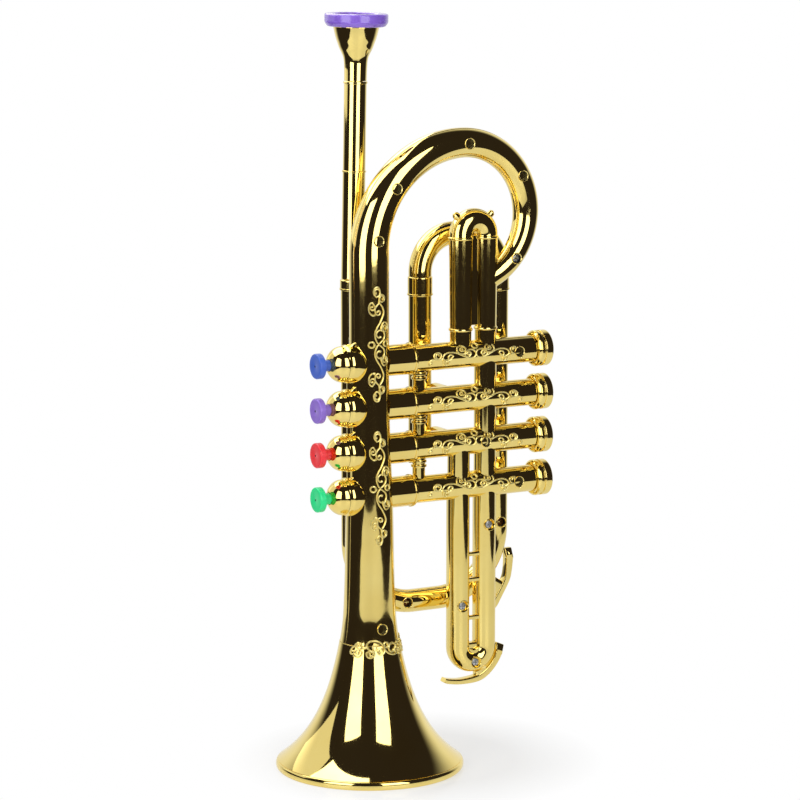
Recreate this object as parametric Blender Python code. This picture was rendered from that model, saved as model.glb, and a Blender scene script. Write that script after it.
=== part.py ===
"""Toy trumpet, standing on its bell, built as moulded half shells, turned pieces and sprung keys.

Metres, +Z up. The bell rim rests on Z = 0, the keys point to -X, the valve caps to +X, and the
near side, from which the screws go in, is -Y. Sizes are first given about the bell's axis; the
empty trumpet_frame then puts the middle of the whole object's footprint at the origin.
"""

import math

import bmesh
import bpy
from mathutils import Matrix, Vector

# Mouldings and fits
WALL = 0.0015
GAP = 0.0003
OVERRUN = 0.004
SEAM_OFFSET = 0.0022

# Whole object
OVERALL_HEIGHT = 0.4000

# Bell
BELL_RIM_RADIUS = 0.0502
BELL_RIM_BAND = 0.0046
BELL_RIM_LEDGE = 0.0011
BELL_FLARE_SCALE = 0.0450
BELL_JOINT_Z = 0.0690
BELL_JOINT_RADIUS = 0.0161
BELL_COLLAR_STEP = 0.0005
BELL_WALL = 0.0018
BELL_SPIGOT_DEPTH = 0.0065

# Bell tube and its loop
BELL_TUBE_RADIUS = 0.0105
BELL_TUBE_TAPER_Z = 0.1850
LOOP_START_Z = 0.2755
LOOP_LEFT_INSET = 0.0142
LOOP_RIGHT_BEND = 0.0385
LOOP_TOP_RADIUS = 0.0079
LOOP_SIDE_RADIUS = 0.0069
LOOP_END_RADIUS = 0.0057
LOOP_END_ANGLE = math.radians(62)

# Valve block
VALVE_COUNT = 4
VALVE_PITCH = 0.0236
VALVE_LOW_Z = 0.1478
CASING_RADIUS = 0.0072
CASING_END_X = 0.0985
STUB_RADIUS = 0.0082
STUB_END_X = 0.0238
STUB_RING_RADIUS = 0.0087
STUB_RING_WIDTH = 0.0012
POST_X = 0.0297
POST_RADIUS = 0.0031
POST_RING_RADIUS = 0.0043
POST_RING_WIDTH = 0.0014

# Valve bottom caps
CAP_RADIUS = 0.0097
CAP_NECK_RADIUS = 0.0083
CAP_COLLAR_WIDTH = 0.0030
CAP_GROOVE_WIDTH = 0.0014
CAP_BAND_WIDTH = 0.0042
CAP_DOME_RISE = 0.0016
CAP_DOME_SHARE = 0.66
CAP_SPIGOT_DEPTH = 0.0050

# Key balls, keys, springs and reed plates
BALL_RADIUS = 0.0100
BALL_CENTRE_X = 0.0143
BALL_NOSE = 0.0033
BALL_WALL = 0.0016
SOCKET_DEPTH = 0.0030
THROAT_RADIUS = 0.0066
REED_THICKNESS = 0.0008
REED_TONGUE_LENGTH = 0.0080
REED_TONGUE_WIDTH = 0.0022
REED_SLOT_WIDTH = 0.0005
KEY_HEAD_RADIUS = 0.00665
KEY_HEAD_THICKNESS = 0.0036
KEY_FACE_X = 0.0320
KEY_CONE_RADIUS = 0.0047
KEY_CONE_LENGTH = 0.0012
KEY_STEM_RADIUS = 0.0030
KEY_EDGE = 0.0008
KEY_FLANGE_RADIUS = 0.0046
KEY_FLANGE_THICKNESS = 0.0012
KEY_PIN_RADIUS = 0.0014
KEY_PIN_LENGTH = 0.0030
DOME_LAND = 0.0028
DOME_SPIGOT_WALL = 0.0012
SPRING_WIRE = 0.0005
SPRING_RADIUS = 0.0029
SPRING_TURNS = 4
SPRING_POINTS_PER_TURN = 6
SPRING_SIDES = 4

# Slides in the plane of the valves
SLIDE_SETBACK = 0.0283
UPPER_SLIDE_SPACING = 0.0152
UPPER_SLIDE_RADIUS = 0.0063
UPPER_SLIDE_TOP_Z = 0.2964
LOWER_SLIDE_SPACING = 0.0162
LOWER_SLIDE_RADIUS = 0.0060
LOWER_SLIDE_BOTTOM_Z = 0.0446
SLIDE_RING_PROUD = 0.0006
SLIDE_RING_WIDTH = 0.0016
SLIDE_NUB_RADIUS = 0.0013
SLIDE_NUB_LENGTH = 0.0028
SLIDE_NUB_TURNS = (math.radians(135), math.radians(45))
SLIDE_WEB_SHARES = (0.626, 0.455, 0.198)
SLIDE_WEB_THICKNESS = 0.0022
SLIDE_PLATE_DEPTH = 0.0026

# Far plane: leadpipe, tuning bow and rear tubes
FAR_PLANE_Y = 0.0198
FAR_TUBE_RADIUS = 0.0062
LEADPIPE_X = 0.0006
LEADPIPE_RADIUS = 0.0057
LEADPIPE_LEAN = math.radians(1.1)
FAR_RIGHT_SETBACK = 0.0099
FAR_TUBE_SPACING = 0.0473
FAR_LEFT_END_DROP = 0.0024
FAR_BOW_TOP_Z = 0.2875
FAR_BOW_BEND = 0.0200
FAR_SLEEVE_Z = 0.2490
FAR_SLEEVE_LENGTH = 0.0100
FAR_SLEEVE_STEP = 0.0005
LEADPIPE_SLEEVE_Z = 0.2600
TUNING_JOINT_Z = 0.1478
TUNING_BOTTOM_Z = 0.0764
TUNING_BEND = 0.0360
SPIGOT_LENGTH = 0.0060
BEAD_PROUD = 0.0006
BEAD_WIDTH = 0.0012
LUG_RADIUS = 0.0025
BRIDGE_RADIUS = 0.0070
BRIDGE_OFFSET = 0.0057
LUG_RISE_SHARE = 0.5

# Mouthpiece
MOUTH_RIM_RADIUS = 0.01675
MOUTH_RIM_HEIGHT = 0.0068
MOUTH_RIM_WIDTH = 0.00525
MOUTH_RIM_EDGE = 0.0012
CUP_LIP_WIDTH = 0.0006
CUP_DEPTH = 0.0160
CUP_SHANK_RADIUS = 0.0058
CUP_SHANK_LENGTH = 0.0300
CUP_BORE_RADIUS = 0.0024
CUP_WALL = 0.0016
CUP_SPIGOT_DEPTH = 0.0080
CUP_PROFILE_SHARES = ((0, 0), (0.24, 0.01), (0.40, 0.05), (0.48, 0.12), (0.56, 0.28), (0.64, 0.47),
                      (0.80, 0.76), (1, 1))
BOWL_RADIUS_SHARES = (1, 0.75, 0.5, 0.25, 0)
BOWL_CURVE = 1.5

# Screws
SCREW_HEAD_RADIUS = 0.0022
SCREW_HEAD_HEIGHT = 0.0014
SCREW_SHANK_RADIUS = 0.00115
SCREW_FLOOR = 0.0012
SCREW_RIM_RADIUS = 0.0031
SCREW_RIM_PROUD = 0.0003
SCREW_SOCKET_RADIUS = 0.0010
SCREW_SOCKET_DEPTH = 0.0006
SCREW_LENGTH = 0.0062
SCREW_BOSS_WALL = 0.0012
BELL_SCREW_RISE = 0.0087
LOOP_SCREW_TURNS = (math.radians(172), math.radians(142), math.radians(90))
LOOP_SIDE_SCREW_TURNS = (math.radians(31), math.radians(-39))
CASING_SCREW_SETBACK = 0.0110
MIDDLE_SCREW_INSET = 0.0032
SLIDE_SCREW_DROP = 0.0222
SLIDE_LEFT_SCREW_RISE = 0.0236
TUNING_SCREW_DROP = 0.0261
TUNING_SCREW_INSET = 0.0060

# Moulded water-key levers: each share is (across, up, half thickness) from the bend's centre
LEVER_REACH = 0.0190
LOWER_LEVER_SHARES = ((0.905, -0.09, 0.116), (0.853, -0.29, 0.116), (0.768, -0.474, 0.1),
                      (0.584, -0.70, 0.1), (0.332, -0.90, 0.1), (0.063, -0.974, 0.095),
                      (-0.405, -0.995, 0.08), (-0.805, -0.932, 0.074), (-0.916, -0.874, 0.07))
LOWER_STALK_SHARES = ((0.31, -0.905, 0.158), (0.179, -0.521, 0.158))
TUNING_LEVER_SHARES = ((2.311, -0.705, 0.116), (2.311, -0.953, 0.116), (2.279, -1.347, 0.1),
                       (2.205, -1.611, 0.1), (1.932, -2.084, 0.1), (1.8, -2.295, 0.1),
                       (1.589, -2.495, 0.084), (1.358, -2.663, 0.063))
TUNING_STALK_SHARES = ((2.068, -1.805, 0.184), (1.489, -1.426, 0.184))

# Facets and mesh tolerances
TUBE_SIDES = 10
WIDE_SIDES = 12
KEY_SIDES = 10
BELL_SIDES = 20
MOUTH_SIDES = 16
SCREW_SIDES = 8
BEND_STEP = math.radians(22.5)
HORN_STEPS = 7
TAPER_STEPS = 3
ROUND_STEPS = 3
MERGE = 1e-6
SHARP_ANGLE = math.radians(35)

# Worked out from the sizes above
UPPER_SLIDE_RIGHT_X = CASING_END_X - SLIDE_SETBACK
UPPER_SLIDE_LEFT_X = UPPER_SLIDE_RIGHT_X - UPPER_SLIDE_SPACING
LOWER_SLIDE_LEFT_X = UPPER_SLIDE_RIGHT_X - LOWER_SLIDE_SPACING
FAR_RIGHT_X = CASING_END_X - FAR_RIGHT_SETBACK
FAR_LEFT_X = FAR_RIGHT_X - FAR_TUBE_SPACING
BRIDGE_X = FAR_LEFT_X + BRIDGE_OFFSET
MIDDLE_SCREW_X = UPPER_SLIDE_RIGHT_X - MIDDLE_SCREW_INSET
LOOP_LEFT_BEND = UPPER_SLIDE_RIGHT_X - LOOP_LEFT_INSET
MOUTH_OPENING_RADIUS = MOUTH_RIM_RADIUS - MOUTH_RIM_WIDTH
CUP_TOP_RADIUS = MOUTH_OPENING_RADIUS + CUP_LIP_WIDTH
BALL_BORE_RADIUS = BALL_RADIUS - BALL_WALL
CAP_END_X = (CASING_END_X + GAP + CAP_COLLAR_WIDTH + CAP_GROOVE_WIDTH + CAP_BAND_WIDTH
             + CAP_DOME_RISE)
VALVE_HEIGHTS = [VALVE_LOW_Z + VALVE_PITCH * row for row in reversed(range(VALVE_COUNT))]
VALVE_TOP_Z, VALVE_BOTTOM_Z = VALVE_HEIGHTS[0], VALVE_HEIGHTS[-1]
LOOP_CENTRE_X = LOOP_LEFT_BEND
LOOP_RIGHT_CENTRE_Z = LOOP_START_Z + LOOP_LEFT_BEND - LOOP_RIGHT_BEND
SLIDE_BOW_RADIUS = (UPPER_SLIDE_RIGHT_X - UPPER_SLIDE_LEFT_X) / 2
LOWER_BOW_RADIUS = (UPPER_SLIDE_RIGHT_X - LOWER_SLIDE_LEFT_X) / 2
LOWER_SLIDE_MIDDLE_X = (LOWER_SLIDE_LEFT_X + UPPER_SLIDE_RIGHT_X) / 2
LOWER_BOW_Z = LOWER_SLIDE_BOTTOM_Z + LOWER_SLIDE_RADIUS + LOWER_BOW_RADIUS
UPPER_BOW_Z = UPPER_SLIDE_TOP_Z - UPPER_SLIDE_RADIUS - SLIDE_BOW_RADIUS
TUNING_BOW_Z = TUNING_BOTTOM_Z + FAR_TUBE_RADIUS
FAR_BOW_Z = FAR_BOW_TOP_Z - FAR_TUBE_RADIUS
SEAT_SETBACK = SEAM_OFFSET + SCREW_FLOOR
SLIDE_WEB_SPAN = VALVE_BOTTOM_Z - CASING_RADIUS - LOWER_BOW_Z
FAR_LEFT_END_Z = VALVE_BOTTOM_Z + VALVE_PITCH - FAR_LEFT_END_DROP
FRAME_X = (BELL_RIM_RADIUS - CAP_END_X) / 2

KEY_NAMES = ("blue", "purple", "red", "green")
FINISHES = {
    "gold": ((0.890, 0.700, 0.250), 1.0, 0.10),
    "blue": ((0.070, 0.160, 0.630), 0.0, 0.30),
    "purple": ((0.330, 0.190, 0.740), 0.0, 0.30),
    "red": ((1.000, 0.040, 0.050), 0.0, 0.30),
    "green": ((0.030, 0.780, 0.210), 0.0, 0.30),
    "brass": ((0.700, 0.500, 0.160), 1.0, 0.25),
    "steel": ((0.560, 0.570, 0.580), 1.0, 0.28),
}


def clear_scene():
    """Remove whatever the file holds."""
    for obj in list(bpy.data.objects):
        bpy.data.objects.remove(obj, do_unlink=True)


def finish(name):
    """The material of one finish, made once."""
    material = bpy.data.materials.get(name)
    if material is None:
        colour, metallic, roughness = FINISHES[name]
        material = bpy.data.materials.new(name)
        material.use_nodes = True
        shader = material.node_tree.nodes["Principled BSDF"]
        shader.inputs["Base Color"].default_value = (*colour, 1.0)
        shader.inputs["Metallic"].default_value = metallic
        shader.inputs["Roughness"].default_value = roughness
        material.diffuse_color = (*colour, 1.0)
    return material


def link(name, data):
    """A scene object that holds the given mesh or curve."""
    obj = bpy.data.objects.new(name, data)
    bpy.context.scene.collection.objects.link(obj)
    return obj


def baked(obj):
    """The object's evaluated mesh, with its modifiers and curve bevel applied."""
    graph = bpy.context.evaluated_depsgraph_get()
    return bpy.data.meshes.new_from_object(obj.evaluated_get(graph))


def mesh_object(name, bm):
    """Close a bmesh into an object with its faces pointing out."""
    bmesh.ops.recalc_face_normals(bm, faces=bm.faces)
    mesh = bpy.data.meshes.new(name)
    bm.to_mesh(mesh)
    bm.free()
    return link(name, mesh)


def lathe(name, profile, sides, origin=(0, 0, 0), along="Z"):
    """Turn a closed profile of (radius, height) points about an axis through origin.

    Heights run along +Z, +X or +Y. Points of radius zero close on the axis.
    """
    bm = bmesh.new()
    verts = [bm.verts.new((radius, 0, height)) for radius, height in profile]
    for first, second in zip(verts, verts[1:] + verts[:1]):
        if first.co.x > 0 or second.co.x > 0:
            bm.edges.new((first, second))
    bmesh.ops.spin(bm, geom=bm.verts[:] + bm.edges[:], cent=(0, 0, 0), axis=(0, 0, 1),
                   dvec=(0, 0, 0), angle=math.tau, steps=sides, use_merge=True)
    bmesh.ops.remove_doubles(bm, verts=bm.verts, dist=MERGE)
    turn = {"Z": Matrix.Identity(4),
            "X": Matrix.Rotation(math.pi / 2, 4, "Y"),
            "Y": Matrix.Rotation(-math.pi / 2, 4, "X")}[along]
    bmesh.ops.transform(bm, matrix=Matrix.Translation(origin) @ turn, verts=bm.verts)
    return mesh_object(name, bm)


def rod(name, radius, start, length, sides, along="Z"):
    """A plain solid cylinder from start, length metres along an axis."""
    return lathe(name, [(0, 0), (radius, 0), (radius, length), (0, length)], sides, start, along)


def block(name, low, high):
    """An axis-aligned solid box between two corners."""
    bm = bmesh.new()
    bmesh.ops.create_cube(bm, size=1)
    middle = (Vector(low) + Vector(high)) / 2
    span = Vector(high) - Vector(low)
    bmesh.ops.transform(bm, verts=bm.verts,
                        matrix=Matrix.Translation(middle) @ Matrix.Diagonal((*span, 1)))
    return mesh_object(name, bm)


def tube(name, points, radii, sides):
    """A solid round bar along a list of points, with a radius at each point."""
    curve = bpy.data.curves.new(name, "CURVE")
    curve.dimensions = "3D"
    curve.bevel_depth = 1
    curve.bevel_resolution = (sides - 4) // 2
    curve.use_fill_caps = True
    spline = curve.splines.new("POLY")
    spline.points.add(len(points) - 1)
    for place, (point, radius) in enumerate(zip(points, radii)):
        spline.points[place].co = (*point, 1)
        spline.points[place].radius = radius
    guide = link(name, curve)
    mesh = baked(guide)
    bpy.data.objects.remove(guide)
    bm = bmesh.new()
    bm.from_mesh(mesh)
    bmesh.ops.remove_doubles(bm, verts=bm.verts, dist=MERGE)
    return mesh_object(name, bm)


def combine(body, operation, tools, solver="EXACT"):
    """Apply one Boolean operation with each tool in turn, and use the tools up.

    The shells and the levers ask for the MANIFOLD solver: their round bars cross at shared
    angles, and there the EXACT one leaves open edges.
    """
    for tool in tools:
        modifier = body.modifiers.new(operation, "BOOLEAN")
        modifier.operation = operation
        modifier.solver = solver
        modifier.object = tool
        tool.display_type = "WIRE"
        tool.hide_render = True
    mesh = baked(body)
    body.modifiers.clear()
    body.data = mesh
    for tool in tools:
        bpy.data.objects.remove(tool, do_unlink=True)
    return body


def tidy(obj):
    """Merge points that a cut left on top of each other and drop edges that bound nothing."""
    bm = bmesh.new()
    bm.from_mesh(obj.data)
    bmesh.ops.remove_doubles(bm, verts=bm.verts, dist=MERGE)
    bmesh.ops.dissolve_degenerate(bm, edges=bm.edges, dist=MERGE)
    bmesh.ops.delete(bm, geom=[edge for edge in bm.edges if not edge.link_faces], context="EDGES")
    bmesh.ops.delete(bm, geom=[vert for vert in bm.verts if not vert.link_edges], context="VERTS")
    bm.to_mesh(obj.data)
    bm.free()
    return obj


def place(obj, finish_name, parent):
    """Give a finished piece its material, its shading and its parent."""
    tidy(obj)
    obj.data.materials.clear()
    obj.data.materials.append(finish(finish_name))
    obj.data.shade_smooth()
    obj.data.set_sharp_from_angle(angle=SHARP_ANGLE)
    obj.parent = parent
    return obj


def arc(centre, radius, start, end, steps, plane_y):
    """Points on an arc in a plane of constant Y, with angles counted from +X towards +Z."""
    angles = [start + (end - start) * step / steps for step in range(steps + 1)]
    return [(centre[0] + radius * math.cos(angle), plane_y, centre[1] + radius * math.sin(angle))
            for angle in angles]


def split(name, shell, plane_y, parent):
    """Cut a shell at its parting plane into a near and a far half with a joint gap between."""
    halves = []
    box = [vertex.co for vertex in shell.data.vertices]
    low = [min(point[axis] for point in box) - OVERRUN for axis in range(3)]
    high = [max(point[axis] for point in box) + OVERRUN for axis in range(3)]
    for side, cut in (("near", (plane_y - GAP / 2, high[1])), ("far", (low[1], plane_y + GAP / 2))):
        half = link(f"{name}_{side}", shell.data.copy())
        away = block("away", (low[0], cut[0], low[2]), (high[0], cut[1], high[2]))
        combine(half, "DIFFERENCE", [away], "MANIFOLD")
        halves.append(place(half, "gold", parent))
    bpy.data.objects.remove(shell, do_unlink=True)
    return halves


def bell_tube_radius(height, joint_radius=BELL_JOINT_RADIUS - BELL_COLLAR_STEP):
    """Outer radius of the bell tube: straight above the taper, then growing as a square."""
    drop = max(BELL_TUBE_TAPER_Z - height, 0) / (BELL_TUBE_TAPER_Z - BELL_JOINT_Z)
    return BELL_TUBE_RADIUS + (joint_radius - BELL_TUBE_RADIUS) * drop ** 2


def horn_radius(height):
    """Outer radius of the bell flare: a horn whose radius falls as a power of the height."""
    mouth = BELL_RIM_RADIUS - BELL_RIM_LEDGE
    span = BELL_JOINT_Z - BELL_RIM_BAND
    power = math.log(mouth / BELL_JOINT_RADIUS) / math.log(1 + span / BELL_FLARE_SCALE)
    return mouth / (1 + (height - BELL_RIM_BAND) / BELL_FLARE_SCALE) ** power


def screw_line(x, z, tube_radius, plane_y):
    """Where one screw sits: its axis point in the shell's middle plane and the levels along Y."""
    return {
        "axis": (x, plane_y, z),
        "near": -tube_radius - SCREW_RIM_PROUD,
        "seat": -SEAT_SETBACK,
        "seam": -SEAM_OFFSET,
        "far": tube_radius - WALL / 2,
        "tip": -SEAT_SETBACK + SCREW_LENGTH,
    }


def screw_boss(line):
    """The pillar that a screw runs through: its raised rim in the near wall, its foot in the far."""
    foot = SCREW_SHANK_RADIUS + GAP + SCREW_BOSS_WALL
    profile = [(0, line["near"]), (SCREW_RIM_RADIUS, line["near"]), (SCREW_RIM_RADIUS, line["seam"]),
               (foot, line["seam"]), (foot, line["far"]), (0, line["far"])]
    return lathe("boss", profile, SCREW_SIDES, line["axis"], "Y")


def screw_hole(line):
    """The head's recess, the clearance hole through its floor and the pilot hole behind it."""
    recess, pilot = SCREW_HEAD_RADIUS + GAP, SCREW_SHANK_RADIUS + GAP
    start, end = line["near"] - OVERRUN, line["tip"] + GAP
    profile = [(0, start), (recess, start), (recess, line["seat"]), (pilot, line["seat"]),
               (pilot, end), (0, end)]
    return lathe("hole", profile, SCREW_SIDES, line["axis"], "Y")


def screw(name, line, parent):
    """A pan-head screw with a dimple in its head, seated on the floor of its recess."""
    under = line["seat"] - GAP
    top = under - SCREW_HEAD_HEIGHT
    profile = [(0, top + SCREW_SOCKET_DEPTH), (SCREW_SOCKET_RADIUS, top),
               (SCREW_HEAD_RADIUS - SCREW_SOCKET_DEPTH, top),
               (SCREW_HEAD_RADIUS, top + SCREW_SOCKET_DEPTH), (SCREW_HEAD_RADIUS, under),
               (SCREW_SHANK_RADIUS, under), (SCREW_SHANK_RADIUS, line["tip"] - SCREW_SHANK_RADIUS),
               (0, line["tip"])]
    return place(lathe(name, profile, SCREW_SIDES, line["axis"], "Y"), "steel", parent)


def shell(name, outer, bores, lines, clear, plane_y, parent):
    """Build a pair of moulded halves.

    The outer solids are joined and hollowed by the bores, the screw pillars are added and
    drilled, the neighbours' room is cut away, and the result is parted at the seam.
    """
    body = combine(outer[0], "UNION", outer[1:], "MANIFOLD")
    body.name = name
    combine(body, "DIFFERENCE", bores, "MANIFOLD")
    combine(body, "UNION", [screw_boss(line) for line in lines], "MANIFOLD")
    combine(body, "DIFFERENCE", [screw_hole(line) for line in lines] + clear, "MANIFOLD")
    return split(name, body, plane_y - SEAM_OFFSET, parent)


def bend_steps(angle):
    """How many straight runs stand for a bend of this angle."""
    return max(1, round(abs(angle) / BEND_STEP))


def graded(start, end, steps):
    """Radii along a bend from one end's to the other's, without the first point."""
    return [start + (end - start) * step / steps for step in range(1, steps + 1)]


def loop_path():
    """The centre line of the bell tube and its loop, and the tube's radius at each point."""
    rise = (BELL_TUBE_TAPER_Z - BELL_JOINT_Z - GAP) / TAPER_STEPS
    points = [(0, 0, BELL_JOINT_Z + GAP + rise * step) for step in range(TAPER_STEPS + 1)]
    radii = [bell_tube_radius(point[2]) for point in points]
    quarter, last = bend_steps(math.pi / 2), bend_steps(LOOP_END_ANGLE)
    right_centre = (LOOP_CENTRE_X, LOOP_RIGHT_CENTRE_Z)
    points += arc((LOOP_CENTRE_X, LOOP_START_Z), LOOP_LEFT_BEND, math.pi, math.pi / 2, quarter, 0)
    points += arc(right_centre, LOOP_RIGHT_BEND, math.pi / 2, 0, quarter, 0)[1:]
    points += arc(right_centre, LOOP_RIGHT_BEND, 0, -LOOP_END_ANGLE, last, 0)[1:]
    radii += [BELL_TUBE_RADIUS] + graded(BELL_TUBE_RADIUS, LOOP_TOP_RADIUS, quarter)
    radii += graded(LOOP_TOP_RADIUS, LOOP_SIDE_RADIUS, quarter)
    radii += graded(LOOP_SIDE_RADIUS, LOOP_END_RADIUS, last)
    heading = (Vector(points[-1]) - Vector(points[-2])).normalized()
    points.append(tuple(Vector(points[-1]) + heading * UPPER_SLIDE_RADIUS / 2))
    radii.append(LOOP_END_RADIUS)
    return points, radii


def room_radius(radius, sides):
    """Radius of a faceted room whose flats still stand a gap clear of a round of this radius."""
    return (radius + GAP) / math.cos(math.pi / sides)


def bell_tube_room():
    """The space of the straight bell tube and a gap round it, to cut its neighbours by."""
    rise = (BELL_TUBE_TAPER_Z - BELL_JOINT_Z) / TAPER_STEPS
    heights = [BELL_JOINT_Z + rise * step for step in range(TAPER_STEPS + 1)] + [LOOP_START_Z]
    wall = [(room_radius(bell_tube_radius(height), WIDE_SIDES), height) for height in heights]
    return lathe("room", [(0, heights[0])] + wall + [(0, heights[-1])], WIDE_SIDES)


def pipe_room(x, low, high, radius, plane_y=0):
    """The space of an upright pipe and a gap round it."""
    return rod("room", room_radius(radius, TUBE_SIDES), (x, plane_y, low), high - low, TUBE_SIDES)


def casing_room(height):
    """The space of one valve casing and a gap round it."""
    return rod("room", room_radius(CASING_RADIUS, KEY_SIDES), (STUB_END_X, 0, height),
               CASING_END_X, KEY_SIDES, "X")


def key_socket(height):
    """The inner half of a key ball, which runs into the bell tube as a round nose."""
    nose = [(BALL_RADIUS * math.cos(turn), BALL_NOSE + BALL_RADIUS * math.sin(turn))
            for turn in (math.pi / 2 * step / ROUND_STEPS for step in range(ROUND_STEPS))]
    profile = [(0, 0), (BALL_RADIUS, 0)] + nose + [(0, BALL_NOSE + BALL_RADIUS)]
    return lathe("socket", profile, KEY_SIDES, (-BALL_CENTRE_X, 0, height), "X")


def key_socket_bore(height):
    """The counterbore for the dome's spigot and the reed plate, and the throat behind it."""
    profile = [(0, -OVERRUN), (BALL_BORE_RADIUS, -OVERRUN), (BALL_BORE_RADIUS, SOCKET_DEPTH),
               (THROAT_RADIUS, SOCKET_DEPTH), (THROAT_RADIUS, BALL_CENTRE_X), (0, BALL_CENTRE_X)]
    return lathe("bore", profile, KEY_SIDES, (-BALL_CENTRE_X, 0, height), "X")


def bell_tube(parent):
    """The bell tube with its loop and the four key sockets, in two halves."""
    points, radii = loop_path()
    spigot_radius = BELL_JOINT_RADIUS - BELL_WALL - GAP
    spigot_low = BELL_JOINT_Z - BELL_SPIGOT_DEPTH
    spigot = rod("spigot", spigot_radius, (0, 0, spigot_low), BELL_SPIGOT_DEPTH + WALL, WIDE_SIDES)
    bore_points = [(0, 0, spigot_low - OVERRUN), (0, 0, points[0][2] + WALL)] + points[1:]
    bore_radii = [spigot_radius - WALL] * 2 + [radius - WALL for radius in radii[1:]]
    lugs = [rod("lug", LUG_RADIUS, (LEADPIPE_X, 0, height), FAR_PLANE_Y, SCREW_SIDES, "Y")
            for height in (VALVE_TOP_Z + VALVE_PITCH, VALVE_BOTTOM_Z + VALVE_PITCH * LUG_RISE_SHARE)]
    outer = [tube("outer", points, radii, WIDE_SIDES), spigot] + lugs
    outer += [key_socket(height) for height in VALVE_HEIGHTS]
    bores = [tube("bore", bore_points, bore_radii, WIDE_SIDES)]
    bores += [key_socket_bore(height) for height in VALVE_HEIGHTS]
    screw_height = BELL_JOINT_Z + BELL_SCREW_RISE
    lines = [screw_line(0, screw_height, bell_tube_radius(screw_height), 0)]
    for turn in LOOP_SCREW_TURNS:
        share = (math.pi - turn) / (math.pi / 2)
        radius = BELL_TUBE_RADIUS + (LOOP_TOP_RADIUS - BELL_TUBE_RADIUS) * share
        lines.append(screw_line(LOOP_CENTRE_X + LOOP_LEFT_BEND * math.cos(turn),
                                LOOP_START_Z + LOOP_LEFT_BEND * math.sin(turn), radius, 0))
    for turn in LOOP_SIDE_SCREW_TURNS:
        lines.append(screw_line(LOOP_CENTRE_X + LOOP_RIGHT_BEND * math.cos(turn),
                                LOOP_RIGHT_CENTRE_Z + LOOP_RIGHT_BEND * math.sin(turn),
                                LOOP_SIDE_RADIUS, 0))
    clear = [pipe_room(UPPER_SLIDE_RIGHT_X, VALVE_TOP_Z, UPPER_BOW_Z, UPPER_SLIDE_RADIUS),
             pipe_room(LEADPIPE_X, TUNING_JOINT_Z, LEADPIPE_SLEEVE_Z, FAR_TUBE_RADIUS, FAR_PLANE_Y)]
    shell("bell_tube", outer, bores, lines, clear, 0, parent)
    return lines


def bell_flare(parent):
    """The separate bell: a horn with a thicker band round its mouth, one wall all the way."""
    edge = BELL_RIM_LEDGE / 2
    span = BELL_JOINT_Z - BELL_RIM_BAND
    heights = [BELL_RIM_BAND + span * (step / HORN_STEPS) ** 2 for step in range(HORN_STEPS + 1)]
    outer = [(horn_radius(height), height) for height in heights]
    inner = [(radius - BELL_WALL, height) for radius, height in reversed(outer)]
    profile = [(BELL_RIM_RADIUS - edge, 0), (BELL_RIM_RADIUS, edge),
               (BELL_RIM_RADIUS, BELL_RIM_BAND - edge), (BELL_RIM_RADIUS - edge, BELL_RIM_BAND)]
    mouth = BELL_RIM_RADIUS - BELL_RIM_LEDGE - BELL_WALL
    return place(lathe("bell_flare", profile + outer + inner + [(mouth, 0)], BELL_SIDES),
                 "gold", parent)


def ring(x, z, radius, plane_y=0):
    """A raised ring round an upright pipe."""
    return rod("ring", radius + SLIDE_RING_PROUD, (x, plane_y, z - SLIDE_RING_WIDTH / 2),
               SLIDE_RING_WIDTH, TUBE_SIDES)


def upper_slide(parent):
    """The short slide above the first valve: two legs, a bow, rings and two small nubs."""
    middle = (UPPER_SLIDE_LEFT_X + UPPER_SLIDE_RIGHT_X) / 2
    bow = arc((middle, UPPER_BOW_Z), SLIDE_BOW_RADIUS, math.pi, 0, bend_steps(math.pi), 0)
    legs = [(UPPER_SLIDE_LEFT_X, 0, VALVE_TOP_Z)] + bow + [(UPPER_SLIDE_RIGHT_X, 0, VALVE_TOP_Z)]
    radii = [UPPER_SLIDE_RADIUS] * len(legs)
    outer = [tube("outer", legs, radii, TUBE_SIDES)]
    for x in (UPPER_SLIDE_LEFT_X, UPPER_SLIDE_RIGHT_X):
        for z in (UPPER_BOW_Z - SLIDE_RING_WIDTH, VALVE_TOP_Z + CASING_RADIUS + UPPER_SLIDE_RADIUS):
            outer.append(ring(x, z, UPPER_SLIDE_RADIUS))
    for turn in SLIDE_NUB_TURNS:
        reach = SLIDE_BOW_RADIUS + UPPER_SLIDE_RADIUS
        way = Vector((math.cos(turn), 0, math.sin(turn)))
        start = Vector((middle, 0, UPPER_BOW_Z)) + way * (reach - WALL / 2)
        outer.append(tube("nub", [start, start + way * SLIDE_NUB_LENGTH],
                          [SLIDE_NUB_RADIUS] * 2, SCREW_SIDES))
    bores = [tube("bore", legs, [radius - WALL for radius in radii], TUBE_SIDES)]
    return shell("upper_slide", outer, bores, [], [casing_room(VALVE_TOP_Z)], 0, parent)


def lower_slide_path():
    """The centre line of the lower slide, down one leg, round the bow and up the other."""
    bow = arc((LOWER_SLIDE_MIDDLE_X, LOWER_BOW_Z), LOWER_BOW_RADIUS, math.pi, math.tau,
              bend_steps(math.pi), 0)
    return ([(LOWER_SLIDE_LEFT_X, 0, VALVE_BOTTOM_Z)] + bow
            + [(UPPER_SLIDE_RIGHT_X, 0, VALVE_BOTTOM_Z)])


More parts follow.
